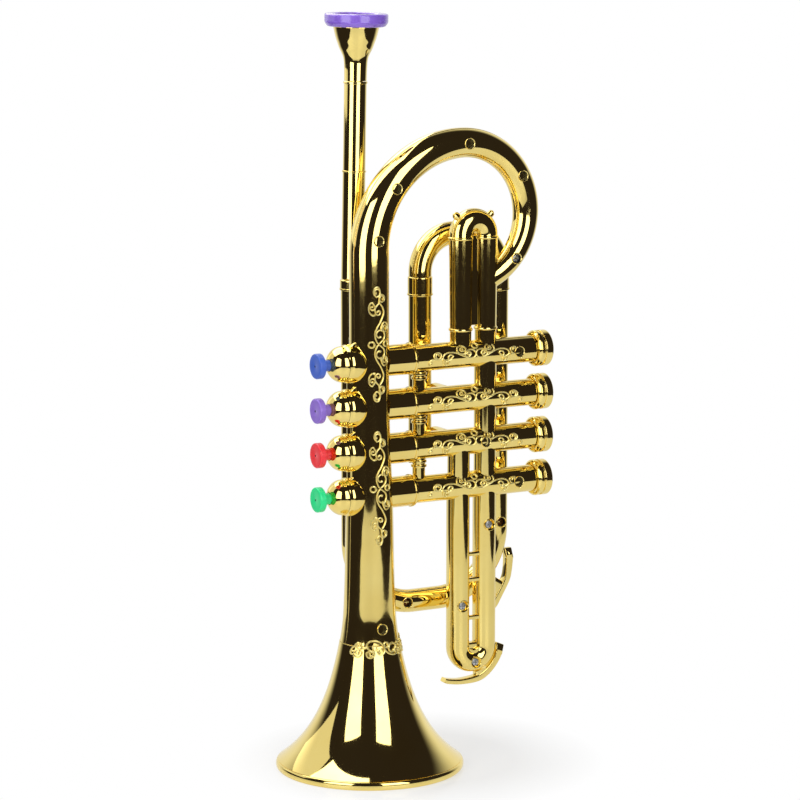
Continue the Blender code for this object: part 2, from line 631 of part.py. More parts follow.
def lower_slide(parent):
    """The long slide under the last valve: two legs, a bow, webs between them and a plate."""
    legs = lower_slide_path()
    outer = [tube("outer", legs, [LOWER_SLIDE_RADIUS] * len(legs), TUBE_SIDES)]
    half_web = SLIDE_WEB_THICKNESS / 2
    for share in SLIDE_WEB_SHARES:
        z = LOWER_BOW_Z + SLIDE_WEB_SPAN * share
        outer.append(block("web", (LOWER_SLIDE_LEFT_X, -SEAM_OFFSET - half_web, z - half_web),
                           (UPPER_SLIDE_RIGHT_X, half_web - SEAM_OFFSET, z + half_web)))
    bow_low = LOWER_BOW_Z - LOWER_BOW_RADIUS
    outer.append(block("plate", (LOWER_SLIDE_LEFT_X, -SLIDE_PLATE_DEPTH - half_web, bow_low),
                       (UPPER_SLIDE_RIGHT_X, 0, LOWER_BOW_Z)))
    bores = [tube("bore", legs, [LOWER_SLIDE_RADIUS - WALL] * len(legs), TUBE_SIDES)]
    places = [(UPPER_SLIDE_RIGHT_X, VALVE_BOTTOM_Z - SLIDE_SCREW_DROP),
              (LOWER_SLIDE_LEFT_X, LOWER_BOW_Z + SLIDE_LEFT_SCREW_RISE),
              (LOWER_SLIDE_MIDDLE_X, bow_low)]
    lines = [screw_line(x, z, LOWER_SLIDE_RADIUS, 0) for x, z in places]
    shell("lower_slide", outer, bores, lines, [casing_room(VALVE_BOTTOM_Z)], 0, parent)
    return lines


def casing(height):
    """One valve casing as a solid: a thicker stub, its ring and the long plain barrel."""
    profile = [(0, 0), (STUB_RADIUS, 0), (STUB_RADIUS, STUB_END_X), (STUB_RING_RADIUS, STUB_END_X),
               (STUB_RING_RADIUS, STUB_END_X + STUB_RING_WIDTH),
               (CASING_RADIUS, STUB_END_X + STUB_RING_WIDTH), (CASING_RADIUS, CASING_END_X),
               (0, CASING_END_X)]
    return lathe("casing", profile, KEY_SIDES, (0, 0, height), "X")


def ringed_post(height):
    """A turned post with two rings that ties one casing to the next above it."""
    start, end = CASING_RADIUS, VALVE_PITCH - CASING_RADIUS
    gap = (end - start - 2 * POST_RING_WIDTH) / 3
    profile = [(0, 0), (POST_RADIUS, 0)]
    for level in (start + gap, start + 2 * gap + POST_RING_WIDTH):
        profile += [(POST_RADIUS, level), (POST_RING_RADIUS, level),
                    (POST_RING_RADIUS, level + POST_RING_WIDTH), (POST_RADIUS, level + POST_RING_WIDTH)]
    profile += [(POST_RADIUS, VALVE_PITCH), (0, VALVE_PITCH)]
    return lathe("post", profile, SCREW_SIDES, (POST_X, 0, height))


def valve_block(parent):
    """The four valve casings in one moulding with the posts and slide tubes between them."""
    outer = [casing(height) for height in VALVE_HEIGHTS]
    outer += [ringed_post(height) for height in VALVE_HEIGHTS[1:]]
    drop = VALVE_TOP_Z - VALVE_BOTTOM_Z
    for x, rise in ((UPPER_SLIDE_RIGHT_X, drop), (LOWER_SLIDE_LEFT_X, VALVE_PITCH)):
        outer.append(rod("line", LOWER_SLIDE_RADIUS, (x, 0, VALVE_BOTTOM_Z), rise, TUBE_SIDES))
    for height in (VALVE_TOP_Z, VALVE_BOTTOM_Z):
        outer.append(rod("lug", LUG_RADIUS, (FAR_RIGHT_X, 0, height), FAR_PLANE_Y, SCREW_SIDES, "Y"))
    for height in VALVE_HEIGHTS[1:-1]:
        outer.append(rod("bridge", BRIDGE_RADIUS, (BRIDGE_X, 0, height), FAR_PLANE_Y, TUBE_SIDES, "Y"))
    length = CASING_END_X + 2 * OVERRUN
    bores = [rod("bore", CASING_RADIUS - WALL, (-OVERRUN, 0, height), length, KEY_SIDES, "X")
             for height in VALVE_HEIGHTS]
    reach = CASING_RADIUS + OVERRUN
    for x, low, high in ((UPPER_SLIDE_RIGHT_X, VALVE_BOTTOM_Z - reach, VALVE_TOP_Z + reach),
                         (LOWER_SLIDE_LEFT_X, VALVE_BOTTOM_Z - reach, VALVE_BOTTOM_Z + VALVE_PITCH),
                         (UPPER_SLIDE_LEFT_X, VALVE_TOP_Z, VALVE_TOP_Z + reach)):
        bores.append(rod("bore", LOWER_SLIDE_RADIUS - WALL, (x, 0, low), high - low, TUBE_SIDES))
    end_x = CASING_END_X - CASING_SCREW_SETBACK
    lines = [screw_line(end_x, VALVE_TOP_Z, CASING_RADIUS, 0),
             screw_line(MIDDLE_SCREW_X, VALVE_BOTTOM_Z + VALVE_PITCH, CASING_RADIUS, 0),
             screw_line(end_x, VALVE_BOTTOM_Z, CASING_RADIUS, 0)]
    clear = [bell_tube_room(),
             pipe_room(FAR_RIGHT_X, TUNING_JOINT_Z - OVERRUN - CASING_RADIUS, FAR_SLEEVE_Z,
                       FAR_TUBE_RADIUS, FAR_PLANE_Y),
             pipe_room(FAR_LEFT_X, FAR_LEFT_END_Z - 2 * BRIDGE_RADIUS, FAR_SLEEVE_Z,
                       FAR_TUBE_RADIUS, FAR_PLANE_Y)]
    shell("valve_block", outer, bores, lines, clear, 0, parent)
    return lines


def valve_cap(name, height, parent):
    """A bottom cap: a hollow spigot in the casing, a collar, a groove and a domed end band."""
    spigot = CASING_RADIUS - WALL - GAP
    hollow = spigot - WALL
    groove = CAP_RADIUS - CAP_GROOVE_WIDTH / 2
    edge = CAP_GROOVE_WIDTH / 4
    band = CAP_COLLAR_WIDTH + CAP_GROOVE_WIDTH
    rim = band + CAP_BAND_WIDTH
    rise = CAP_DOME_RISE
    profile = [(hollow, -CAP_SPIGOT_DEPTH), (spigot, -CAP_SPIGOT_DEPTH), (spigot, 0),
               (CAP_NECK_RADIUS, 0), (CAP_RADIUS, CAP_RADIUS - CAP_NECK_RADIUS),
               (CAP_RADIUS, CAP_COLLAR_WIDTH), (groove, CAP_COLLAR_WIDTH + edge),
               (groove, band - edge), (CAP_RADIUS, band), (CAP_RADIUS, rim - rise),
               (CAP_RADIUS - rise / 2, rim - rise / 2), (CAP_RADIUS - rise, rim),
               (CAP_RADIUS / 2, rim + rise * CAP_DOME_SHARE), (0, rim + rise),
               (0, rim - rise), (hollow, rim - rise)]
    return place(lathe(name, profile, KEY_SIDES, (CASING_END_X + GAP, 0, height), "X"), "gold", parent)


def dome_levels():
    """Heights along a key's axis, counted from the ball's middle: the hole's edge, the land."""
    hole = KEY_STEM_RADIUS + GAP
    edge = -math.sqrt(BALL_RADIUS ** 2 - hole ** 2)
    return hole, edge, edge + DOME_LAND


def key_dome(name, height, parent):
    """The outer half of a key ball, with a hole for the stem and a spigot that holds the reed."""
    hole, edge, land = dome_levels()
    inner = BALL_BORE_RADIUS - GAP - DOME_SPIGOT_WALL
    seat = KEY_FLANGE_RADIUS + GAP
    spigot_end = SOCKET_DEPTH - GAP - REED_THICKNESS - GAP
    last = math.asin(hole / BALL_RADIUS)
    first = math.acos(GAP / BALL_RADIUS)
    turns = [first + (last - first) * step / (ROUND_STEPS + 1) for step in range(ROUND_STEPS + 2)]
    outer = [(BALL_RADIUS * math.sin(turn), -BALL_RADIUS * math.cos(turn)) for turn in turns]
    profile = outer + [(hole, land), (seat, land), (inner, land + inner - seat), (inner, spigot_end),
                       (BALL_BORE_RADIUS - GAP, spigot_end), (BALL_BORE_RADIUS - GAP, -GAP)]
    return place(lathe(name, profile, KEY_SIDES, (-BALL_CENTRE_X, 0, height), "X"), "gold", parent)


def key(name, colour, height, parent):
    """A key with its head, conical neck, stem, stop flange and spring pin, on its own axis."""
    land = dome_levels()[2]
    face = BALL_CENTRE_X - KEY_FACE_X
    back = face + KEY_HEAD_THICKNESS
    flange = land + GAP
    shoulder = flange + KEY_FLANGE_THICKNESS
    pin_end = shoulder + KEY_PIN_LENGTH
    profile = [(0, face), (KEY_HEAD_RADIUS - KEY_EDGE, face), (KEY_HEAD_RADIUS, face + KEY_EDGE),
               (KEY_HEAD_RADIUS, back - KEY_EDGE), (KEY_HEAD_RADIUS - KEY_EDGE, back),
               (KEY_CONE_RADIUS, back), (KEY_STEM_RADIUS + KEY_EDGE, back + KEY_CONE_LENGTH),
               (KEY_STEM_RADIUS, back + KEY_CONE_LENGTH), (KEY_STEM_RADIUS, flange),
               (KEY_FLANGE_RADIUS, flange), (KEY_FLANGE_RADIUS, shoulder), (KEY_PIN_RADIUS, shoulder),
               (KEY_PIN_RADIUS, pin_end), (0, pin_end)]
    obj = place(lathe(name, profile, KEY_SIDES, along="X"), colour, parent)
    obj.location = (-BALL_CENTRE_X, 0, height)
    return obj


def key_spring(name, height, parent):
    """A compression spring between a key's flange and its reed plate, on the key's axis."""
    wire = SPRING_WIRE / 2
    start = dome_levels()[2] + GAP + KEY_FLANGE_THICKNESS + GAP + wire
    end = SOCKET_DEPTH - GAP - REED_THICKNESS - GAP - wire
    count = round(SPRING_TURNS * SPRING_POINTS_PER_TURN)
    points = []
    for step in range(count + 1):
        turn = math.tau * step / SPRING_POINTS_PER_TURN
        points.append((start + (end - start) * step / count,
                       SPRING_RADIUS * math.cos(turn), SPRING_RADIUS * math.sin(turn)))
    obj = place(tube(name, points, [wire] * len(points), SPRING_SIDES), "steel", parent)
    obj.location = (-BALL_CENTRE_X, 0, height)
    return obj


def reed_plate(name, height, parent):
    """A stamped plate with a tongue cut free on three sides, trapped in the key's socket."""
    start = SOCKET_DEPTH - GAP - REED_THICKNESS - BALL_CENTRE_X
    plate = rod(name, BALL_BORE_RADIUS - GAP, (start, 0, height), REED_THICKNESS, KEY_SIDES, "X")
    half, side = REED_TONGUE_LENGTH / 2, REED_TONGUE_WIDTH / 2
    low_x, high_x = start - GAP, start + REED_THICKNESS + GAP
    slot = side + REED_SLOT_WIDTH
    cuts = [block("slot", (low_x, -slot, height - half), (high_x, -side, height + half)),
            block("slot", (low_x, side, height - half), (high_x, slot, height + half)),
            block("slot", (low_x, -slot, height + half - REED_SLOT_WIDTH / 2),
                  (high_x, slot, height + half + REED_SLOT_WIDTH / 2))]
    return place(combine(plate, "DIFFERENCE", cuts), "brass", parent)


def straight_pipe(name, x, low, high, low_spigot, high_spigot, sleeve, parent):
    """A far-plane pipe with a sleeve at its top and spigots of given lengths for the bows."""
    bore, thin = FAR_TUBE_RADIUS - WALL, FAR_TUBE_RADIUS - 2 * WALL - GAP
    fit = bore - GAP
    wide = FAR_TUBE_RADIUS + FAR_SLEEVE_STEP
    profile = [(FAR_TUBE_RADIUS, low), (FAR_TUBE_RADIUS, high - sleeve), (wide + BEAD_PROUD, high - sleeve),
               (wide + BEAD_PROUD, high - sleeve + BEAD_WIDTH), (wide, high - sleeve + BEAD_WIDTH),
               (wide, high)]
    if high_spigot:
        profile += [(fit, high), (fit, high + high_spigot), (thin, high + high_spigot),
                    (thin, high), (bore, high - WALL)]
    else:
        profile.append((bore, high))
    if low_spigot:
        profile += [(bore, low + WALL), (thin, low), (thin, low - low_spigot),
                    (fit, low - low_spigot), (fit, low)]
    else:
        profile += [(bore, low + WALL), (0, low + WALL), (0, low - WALL), (bore, low - WALL)]
    return place(lathe(name, profile, TUBE_SIDES, (x, FAR_PLANE_Y, 0)), "gold", parent)


def far_bow(name, left, right, leg_z, bow_z, bend, lines, clear, parent):
    """A bow of the far plane in two halves, from one leg's end round to the other's."""
    turn_z = bow_z + math.copysign(bend, leg_z - bow_z)
    way = 1 if bow_z > leg_z else -1
    steps = bend_steps(math.pi / 2)
    first = arc((left + bend, turn_z), bend, math.pi, math.pi - way * math.pi / 2, steps, FAR_PLANE_Y)
    second = arc((right - bend, turn_z), bend, way * math.pi / 2, 0, steps, FAR_PLANE_Y)
    points = [(left, FAR_PLANE_Y, leg_z)] + first + second + [(right, FAR_PLANE_Y, leg_z)]
    radii = [FAR_TUBE_RADIUS] * len(points)
    beyond = leg_z - way * OVERRUN
    bore_points = [(left, FAR_PLANE_Y, beyond)] + points[1:-1] + [(right, FAR_PLANE_Y, beyond)]
    outer = [tube("outer", points, radii, TUBE_SIDES)]
    bores = [tube("bore", bore_points, [radius - WALL for radius in radii], TUBE_SIDES)]
    return shell(name, outer, bores, lines, clear, FAR_PLANE_Y, parent)


def lever_bar(centre_x, centre_z, bar_shares, stalk_shares, plane_y):
    """A water-key lever as a solid: the curved bar with its thumb tab, and the stalk it stands on."""
    pieces = []
    for name, shares in (("bar", bar_shares), ("stalk", stalk_shares)):
        points = [(centre_x + LEVER_REACH * across, plane_y, centre_z + LEVER_REACH * up)
                  for across, up, half in shares]
        pieces.append(tube(name, points, [LEVER_REACH * half for across, up, half in shares], SCREW_SIDES))
    return combine(pieces[0], "UNION", pieces[1:], "MANIFOLD")


def water_keys(parent):
    """The two fixed levers moulded as water keys, each seated on the bow it belongs to."""
    lower = lever_bar(LOWER_SLIDE_MIDDLE_X, LOWER_BOW_Z, LOWER_LEVER_SHARES, LOWER_STALK_SHARES, 0)
    legs = lower_slide_path()
    room = tube("room", legs, [room_radius(LOWER_SLIDE_RADIUS, TUBE_SIDES)] * len(legs), TUBE_SIDES)
    combine(lower, "DIFFERENCE", [room], "MANIFOLD")
    lower.name = "lower_water_key"
    place(lower, "gold", parent)
    centre_x, centre_z = FAR_RIGHT_X - TUNING_BEND, TUNING_BOW_Z + TUNING_BEND
    upper = lever_bar(centre_x, centre_z, TUNING_LEVER_SHARES, TUNING_STALK_SHARES, FAR_PLANE_Y)
    corner = arc((centre_x, centre_z), TUNING_BEND, -math.pi / 2, 0, bend_steps(math.pi / 2), FAR_PLANE_Y)
    room = tube("room", corner + [(FAR_RIGHT_X, FAR_PLANE_Y, TUNING_JOINT_Z)],
                [room_radius(FAR_TUBE_RADIUS, TUBE_SIDES)] * (len(corner) + 1), TUBE_SIDES)
    combine(upper, "DIFFERENCE", [room], "MANIFOLD")
    upper.name = "tuning_water_key"
    place(upper, "gold", parent)


def far_plane(parent):
    """Leadpipe, tuning bow, rear tubes and rear bow; returns the tuning bow's screw places."""
    sleeve = LEADPIPE_SLEEVE_Z - FAR_SLEEVE_Z - FAR_SLEEVE_STEP
    straight_pipe("leadpipe_lower", LEADPIPE_X, TUNING_JOINT_Z, LEADPIPE_SLEEVE_Z, SPIGOT_LENGTH, 0,
                  sleeve / 2, parent)
    top = FAR_SLEEVE_Z + FAR_SLEEVE_LENGTH
    bow_spigot = FAR_BOW_Z - FAR_BOW_BEND - top
    straight_pipe("far_right_tube", FAR_RIGHT_X, TUNING_JOINT_Z, top, SPIGOT_LENGTH, bow_spigot,
                  FAR_SLEEVE_LENGTH, parent)
    straight_pipe("far_left_tube", FAR_LEFT_X, FAR_LEFT_END_Z, top, 0, bow_spigot,
                  FAR_SLEEVE_LENGTH, parent)
    far_bow("far_bow", FAR_LEFT_X, FAR_RIGHT_X, top + GAP, FAR_BOW_Z, FAR_BOW_BEND, [], [], parent)
    screw_rise = TUNING_BEND - math.sqrt(TUNING_BEND ** 2 - TUNING_SCREW_INSET ** 2)
    lines = [screw_line(FAR_RIGHT_X, TUNING_JOINT_Z - TUNING_SCREW_DROP, FAR_TUBE_RADIUS, FAR_PLANE_Y),
             screw_line(LEADPIPE_X + TUNING_BEND - TUNING_SCREW_INSET, TUNING_BOW_Z + screw_rise,
                        FAR_TUBE_RADIUS, FAR_PLANE_Y)]
    far_bow("tuning_bow", LEADPIPE_X, FAR_RIGHT_X, TUNING_JOINT_Z - GAP, TUNING_BOW_Z, TUNING_BEND,
            lines, [], parent)
    return lines


def mouthpiece(parent):
    """Upper leadpipe, cup and rim, built upright on an empty that gives them their lean."""
    axis = bpy.data.objects.new("mouthpiece_axis", None)
    bpy.context.scene.collection.objects.link(axis)
    axis.parent = parent
    axis.location = (LEADPIPE_X, FAR_PLANE_Y, LEADPIPE_SLEEVE_Z)
    axis.rotation_euler = (0, LEADPIPE_LEAN, 0)
    overhang = (MOUTH_RIM_RADIUS - MOUTH_RIM_EDGE) * math.sin(LEADPIPE_LEAN)
    length = (OVERALL_HEIGHT - LEADPIPE_SLEEVE_Z - overhang) / math.cos(LEADPIPE_LEAN)
    rim_low = length - MOUTH_RIM_HEIGHT
    cup_top = rim_low - GAP
    cup_low = cup_top - CUP_SHANK_LENGTH
    pipe_top = cup_low - GAP
    bore, fit = FAR_TUBE_RADIUS - WALL, FAR_TUBE_RADIUS - WALL - GAP
    pipe_bore = LEADPIPE_RADIUS - WALL
    thin = fit - WALL
    wide = LEADPIPE_RADIUS + BEAD_PROUD
    foot = FAR_TUBE_RADIUS + FAR_SLEEVE_STEP
    pipe = [(fit, -SPIGOT_LENGTH + BEAD_WIDTH), (fit, GAP), (foot, GAP), (foot, GAP + BEAD_WIDTH),
            (LEADPIPE_RADIUS, GAP + 2 * BEAD_WIDTH), (LEADPIPE_RADIUS, pipe_top - 2 * BEAD_WIDTH),
            (wide, pipe_top - 2 * BEAD_WIDTH), (wide, pipe_top), (pipe_bore, pipe_top),
            (pipe_bore, GAP + bore), (thin, GAP), (thin, -SPIGOT_LENGTH + BEAD_WIDTH)]
    place(lathe("leadpipe_upper", pipe, TUBE_SIDES), "gold", axis)
    height = cup_top - cup_low
    grow = CUP_TOP_RADIUS - CUP_SHANK_RADIUS
    outer = [(CUP_SHANK_RADIUS + grow * radius_share, cup_low + height * height_share)
             for height_share, radius_share in CUP_PROFILE_SHARES]
    lip = MOUTH_OPENING_RADIUS - GAP
    lip_top = cup_top + MOUTH_RIM_HEIGHT / 2
    bowl_top = lip - CUP_WALL / 2
    bowl = [(CUP_BORE_RADIUS + (bowl_top - CUP_BORE_RADIUS) * share,
             cup_top - CUP_DEPTH * (1 - share ** BOWL_CURVE)) for share in BOWL_RADIUS_SHARES]
    spigot = pipe_bore - GAP
    cup = outer + [(lip, cup_top), (lip, lip_top), (bowl_top, lip_top)] + bowl
    cup += [(CUP_BORE_RADIUS, cup_low - CUP_SPIGOT_DEPTH), (spigot, cup_low - CUP_SPIGOT_DEPTH),
            (spigot, cup_low)]
    place(lathe("mouthpiece_cup", cup, WIDE_SIDES), "gold", axis)
    edge = MOUTH_RIM_EDGE
    rim = [(MOUTH_OPENING_RADIUS, rim_low), (MOUTH_RIM_RADIUS - 2 * edge, rim_low),
           (MOUTH_RIM_RADIUS, rim_low + 2 * edge), (MOUTH_RIM_RADIUS, length - edge),
           (MOUTH_RIM_RADIUS - edge, length), (MOUTH_OPENING_RADIUS + edge, length),
           (MOUTH_OPENING_RADIUS, length - edge)]
    place(lathe("mouthpiece_rim", rim, MOUTH_SIDES), "purple", axis)


def main():
    """Build every piece under one empty that centres the footprint."""
    clear_scene()
    frame = bpy.data.objects.new("trumpet_frame", None)
    bpy.context.scene.collection.objects.link(frame)
    frame.location = (FRAME_X, 0, 0)
    bell_flare(frame)
    lines = bell_tube(frame)
    upper_slide(frame)
    lines += valve_block(frame)
    lines += lower_slide(frame)
    lines += far_plane(frame)
    for number, line in enumerate(lines, start=1):
        screw(f"screw_{number:02d}", line, frame)
    for number, (height, colour) in enumerate(zip(VALVE_HEIGHTS, KEY_NAMES), start=1):
        valve_cap(f"valve_cap_{number}", height, frame)
        key_dome(f"key_dome_{number}", height, frame)
        reed_plate(f"reed_plate_{number}", height, frame)
        key_spring(f"key_spring_{number}", height, frame)
        key(f"key_{colour}", colour, height, frame)
    water_keys(frame)
    mouthpiece(frame)
    bpy.context.view_layer.update()


main()
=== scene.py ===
"""Looks of the toy trumpet: a gold-metallised toy that stands on its bell.

Sizes are millimetres about the bell's axis: X towards the valve caps, Z up from the bell's rim,
and -Y towards the near side, from which the screws go in. put_together() scales them to metres
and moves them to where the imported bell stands.
"""

import logging
import math
from dataclasses import dataclass, field
from enum import Enum
from functools import partial
from typing import Any, Callable, Iterable

import bmesh
import bpy
import numpy as np
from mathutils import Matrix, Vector


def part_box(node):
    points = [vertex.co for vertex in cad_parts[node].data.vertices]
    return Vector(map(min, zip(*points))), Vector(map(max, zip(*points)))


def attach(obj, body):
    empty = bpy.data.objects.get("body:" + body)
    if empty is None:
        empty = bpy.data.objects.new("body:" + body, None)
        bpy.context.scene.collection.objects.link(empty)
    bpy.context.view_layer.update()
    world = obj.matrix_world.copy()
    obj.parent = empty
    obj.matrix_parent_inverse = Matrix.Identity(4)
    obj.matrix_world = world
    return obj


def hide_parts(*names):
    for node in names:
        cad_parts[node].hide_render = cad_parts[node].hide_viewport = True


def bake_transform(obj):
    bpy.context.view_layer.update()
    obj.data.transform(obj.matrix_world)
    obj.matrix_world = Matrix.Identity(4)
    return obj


log = logging.getLogger("toy_trumpet")
Array = np.ndarray
Flat = tuple[float, float]
Colour = tuple[float, float, float, float]

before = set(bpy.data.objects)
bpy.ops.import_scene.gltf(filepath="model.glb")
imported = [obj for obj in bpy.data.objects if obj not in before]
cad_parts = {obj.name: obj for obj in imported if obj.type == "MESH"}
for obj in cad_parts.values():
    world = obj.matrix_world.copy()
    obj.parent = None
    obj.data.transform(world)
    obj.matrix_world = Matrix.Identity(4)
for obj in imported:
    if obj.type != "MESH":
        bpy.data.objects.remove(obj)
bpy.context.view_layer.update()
BELL_LOW, BELL_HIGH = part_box("bell_flare")
ORIGIN = np.array([(BELL_LOW.x + BELL_HIGH.x) / 2, (BELL_LOW.y + BELL_HIGH.y) / 2, 0.0])

MM = 0.001
# Gap between two mouldings, and how far the halves' seam lies on the near side of a tube's middle.
CLEAR = 0.3
SEAM = 2.2
# An edge sharper than this is shaded as a crease.
SHARP = math.radians(38)
# Heights of the casings, the step between them, their open ends, and the rear tubes' plane.
VALVES = (218.6, 195.0, 171.4, 147.8)
PITCH = 23.6
CASING_END = 98.5
FAR_Y = 19.8
# The key balls' middles, radius and seam along X.
BALL_X = -14.4
BALL_RADIUS = 10.2
BALL_SEAM = -16.0
# Radius of a screw's recess, and depth of its floor from the tube's middle plane.
HOLE = 2.5
SEAT = 3.4
ROOT = "trumpet"


# Finishes


def linear(code: str) -> Colour:
    """Turn an sRGB hex colour into linear values.

    Args:
        code: Colour such as "#F3D989".

    Returns:
        Linear red, green, blue and an alpha of 1.
    """
    values = np.array([int(code[place:place + 2], 16) for place in (1, 3, 5)]) / 255
    curve = np.where(values <= 0.04045, values / 12.92, ((values + 0.055) / 1.055) ** 2.4)
    return (*curve.tolist(), 1.0)


def add_node(tree: bpy.types.NodeTree, kind: str, settings: dict[str | int, Any] | None = None,
             links: dict[str | int, bpy.types.NodeSocket] | None = None) -> bpy.types.Node:
    """Add one node with its settings and its incoming links.

    Args:
        tree: Node tree that gets the node.
        kind: Blender's node type.
        settings: Input values by socket name or number, or node properties by their own name.
        links: Source sockets by the name or number of the input that they feed.

    Returns:
        The new node.
    """
    node = tree.nodes.new(kind)
    for name, value in (settings or {}).items():
        if isinstance(name, int) or name in node.inputs:
            node.inputs[name].default_value = value
        else:
            setattr(node, name, value)
    for name, socket in (links or {}).items():
        tree.links.new(socket, node.inputs[name])
    return node


def fresh_tree(owner: bpy.types.Material | bpy.types.World) -> bpy.types.NodeTree:
    """Empty the node tree of a new material or world.

    Args:
        owner: The material or world.

    Returns:
        Its node tree.
    """
    owner.use_nodes = True
    owner.node_tree.nodes.clear()
    return owner.node_tree


# Numbers of a colour Mix node's sockets, whose names repeat.
MIX_A, MIX_B, MIX_RESULT = 6, 7, 2
WHITE: Colour = (1.0, 1.0, 1.0, 1.0)


def mixed(tree: bpy.types.NodeTree, share: bpy.types.NodeSocket, first: bpy.types.Node,
          second: bpy.types.Node) -> bpy.types.Node:
    """Mix two shaders: a share of 0 gives the first and a share of 1 the second."""
    return add_node(tree, "ShaderNodeMixShader", links={0: share, 1: first.outputs[0], 2: second.outputs[0]})


def per_mm(size: float) -> float:
    """Scale of a noise on Object coordinates whose features are size millimetres wide."""
    return 1 / (size * MM)


@dataclass(frozen=True)
class Finish:
    """A surface finish, told by how it is made, or a paint that stands in for shade or sheen on a few pieces.

    Its colour drifts to a shade and its roughness from low to high in patches of one width in
    millimetres, and its bump is a noise of another width and of a depth, both in millimetres.
    """

    name: str
    slot: str
    colour: str
    shade: str
    metallic: float
    roughness: tuple[float, float]
    patch_mm: float
    bump_mm: float
    bump_depth: float
    coat: float = 0.0

    def material(self) -> bpy.types.Material:
        """Make the finish's material, or find it where it is made already.

        Returns:
            The material.
        """
        found = bpy.data.materials.get(self.name)
        if found:
            return found
        material = bpy.data.materials.new(self.name)
        tree = fresh_tree(material)
        place = add_node(tree, "ShaderNodeTexCoord").outputs["Object"]
        patches = add_node(tree, "ShaderNodeTexNoise", {"Scale": per_mm(self.patch_mm), "Detail": 3.0},
                           {"Vector": place}).outputs["Fac"]
        drift = add_node(tree, "ShaderNodeMapRange", {"From Min": 0.3, "From Max": 0.7}, {"Value": patches})
        tint = add_node(tree, "ShaderNodeMix",
                        {"data_type": "RGBA", MIX_A: linear(self.colour), MIX_B: linear(self.shade)},
                        {0: drift.outputs[0]})
        low, high = self.roughness
        rough = add_node(tree, "ShaderNodeMapRange", {"To Min": low, "To Max": high}, {"Value": patches})
        waves = add_node(tree, "ShaderNodeTexNoise", {"Scale": per_mm(self.bump_mm), "Detail": 2.0},
                         {"Vector": place})
        bump = add_node(tree, "ShaderNodeBump", {"Strength": 1.0, "Distance": self.bump_depth * MM},
                        {"Height": waves.outputs["Fac"]})
        shader = add_node(tree, "ShaderNodeBsdfPrincipled",
                          {"Metallic": self.metallic, "Coat Weight": self.coat},
                          {"Base Color": tint.outputs[MIX_RESULT], "Roughness": rough.outputs[0],
                           "Normal": bump.outputs[0]})
        add_node(tree, "ShaderNodeOutputMaterial", links={"Surface": shader.outputs["BSDF"]})
        return material


def moulded(colour: str, code: str, shade: str) -> Finish:
    """Self-coloured ABS from a polished mould: an even colour with a soft, semi-gloss sheen."""
    return Finish(f"moulded_{colour}_abs", colour, code, shade, 0.0, (0.27, 0.36), 5.0, 1.6, 0.01)


class Finishes(Enum):
    """Every finish on the toy."""

    # Aluminium flashed onto ABS under a yellow lacquer: a mirror, faintly wavy from the mould.
    GOLD = Finish("vacuum_metallised_gold", "gold", "#FAE48E", "#F5DB80", 1.0, (0.035, 0.065),
                  22.0, 9.0, 0.012)
    # The gold of the thin raised scrolls: rougher, and painted paler and less metallic as a sheen on the
    # wires.
    RAISED_GOLD = Finish("metallised_scroll_gold", "gold", "#FBEB9C", "#F5E18B", 0.82, (0.24, 0.34),
                         3.0, 1.2, 0.02)
    # Painted shade: nearly black, for the walls and floors of the screw recesses and the bottom of each key's
    # dimple.
    RECESS = Finish("unplated_recess_abs", "gold", "#0E0A07", "#17100A", 0.0, (0.45, 0.6), 4.0, 0.8, 0.01)
    BLUE = moulded("blue", "#4A6FD6", "#4266CC")
    PURPLE = moulded("purple", "#9A79DE", "#9271D6")
    RED = moulded("red", "#FF3F45", "#FB363E")
    GREEN = moulded("green", "#2FF39A", "#28EA90")
    # The mouthpiece's ABS has a glossier skin, so the lamps show in it as clear bars.
    RIM = Finish("moulded_rim_purple_abs", "purple", "#8F6CDD", "#8764D5", 0.0, (0.16, 0.22),
                 8.0, 2.0, 0.01, coat=0.5)
    # Clear-passivated zinc on steel screws: pale grey and slightly grainy.
    ZINC = Finish("zinc_plated_steel", "steel", "#C9CBCC", "#AEB1B4", 1.0, (0.26, 0.4), 1.5, 0.35, 0.02)
    # The two screws of the tuning bow, on the far tubes behind the near ones: painted shade in dark brown.
    BRONZED = Finish("bronzed_steel", "steel", "#6B3A18", "#4A2610", 1.0, (0.3, 0.45), 1.5, 0.35, 0.02)
    # Drawn wire and stamped sheet: bright metals with a fine grain, inside the balls.
    SPRING = Finish("drawn_spring_steel", "steel", "#B9BBBD", "#A2A5A8", 1.0, (0.2, 0.3), 1.5, 0.4, 0.01)
    BRASS = Finish("stamped_reed_brass", "brass", "#D9B45A", "#C9A24A", 1.0, (0.2, 0.34), 4.0, 0.6, 0.01)


def dress(piece: bpy.types.Object, finish: Finishes) -> None:
    """Give a piece its finish."""
    piece.data.materials.clear()
    piece.data.materials.append(finish.value.material())


# Surfaces


@dataclass
class Surface:
    """A closed or open surface: points in millimetres, faces of four and of three corners."""

    points: Array
    quads: Array = field(default_factory=lambda: np.zeros((0, 4), int))
    tris: Array = field(default_factory=lambda: np.zeros((0, 3), int))

    def moved(self, shift: Iterable[float] | Array) -> "Surface":
        """The same surface shifted by millimetres: all of it alike, or each point on its own."""
        return Surface(self.points + np.asarray(shift, float), self.quads, self.tris)

    def turned(self, matrix: Array) -> "Surface":
        """The same surface turned by a 3 by 3 matrix about the origin."""
        return Surface(self.points @ matrix.T, self.quads, self.tris)


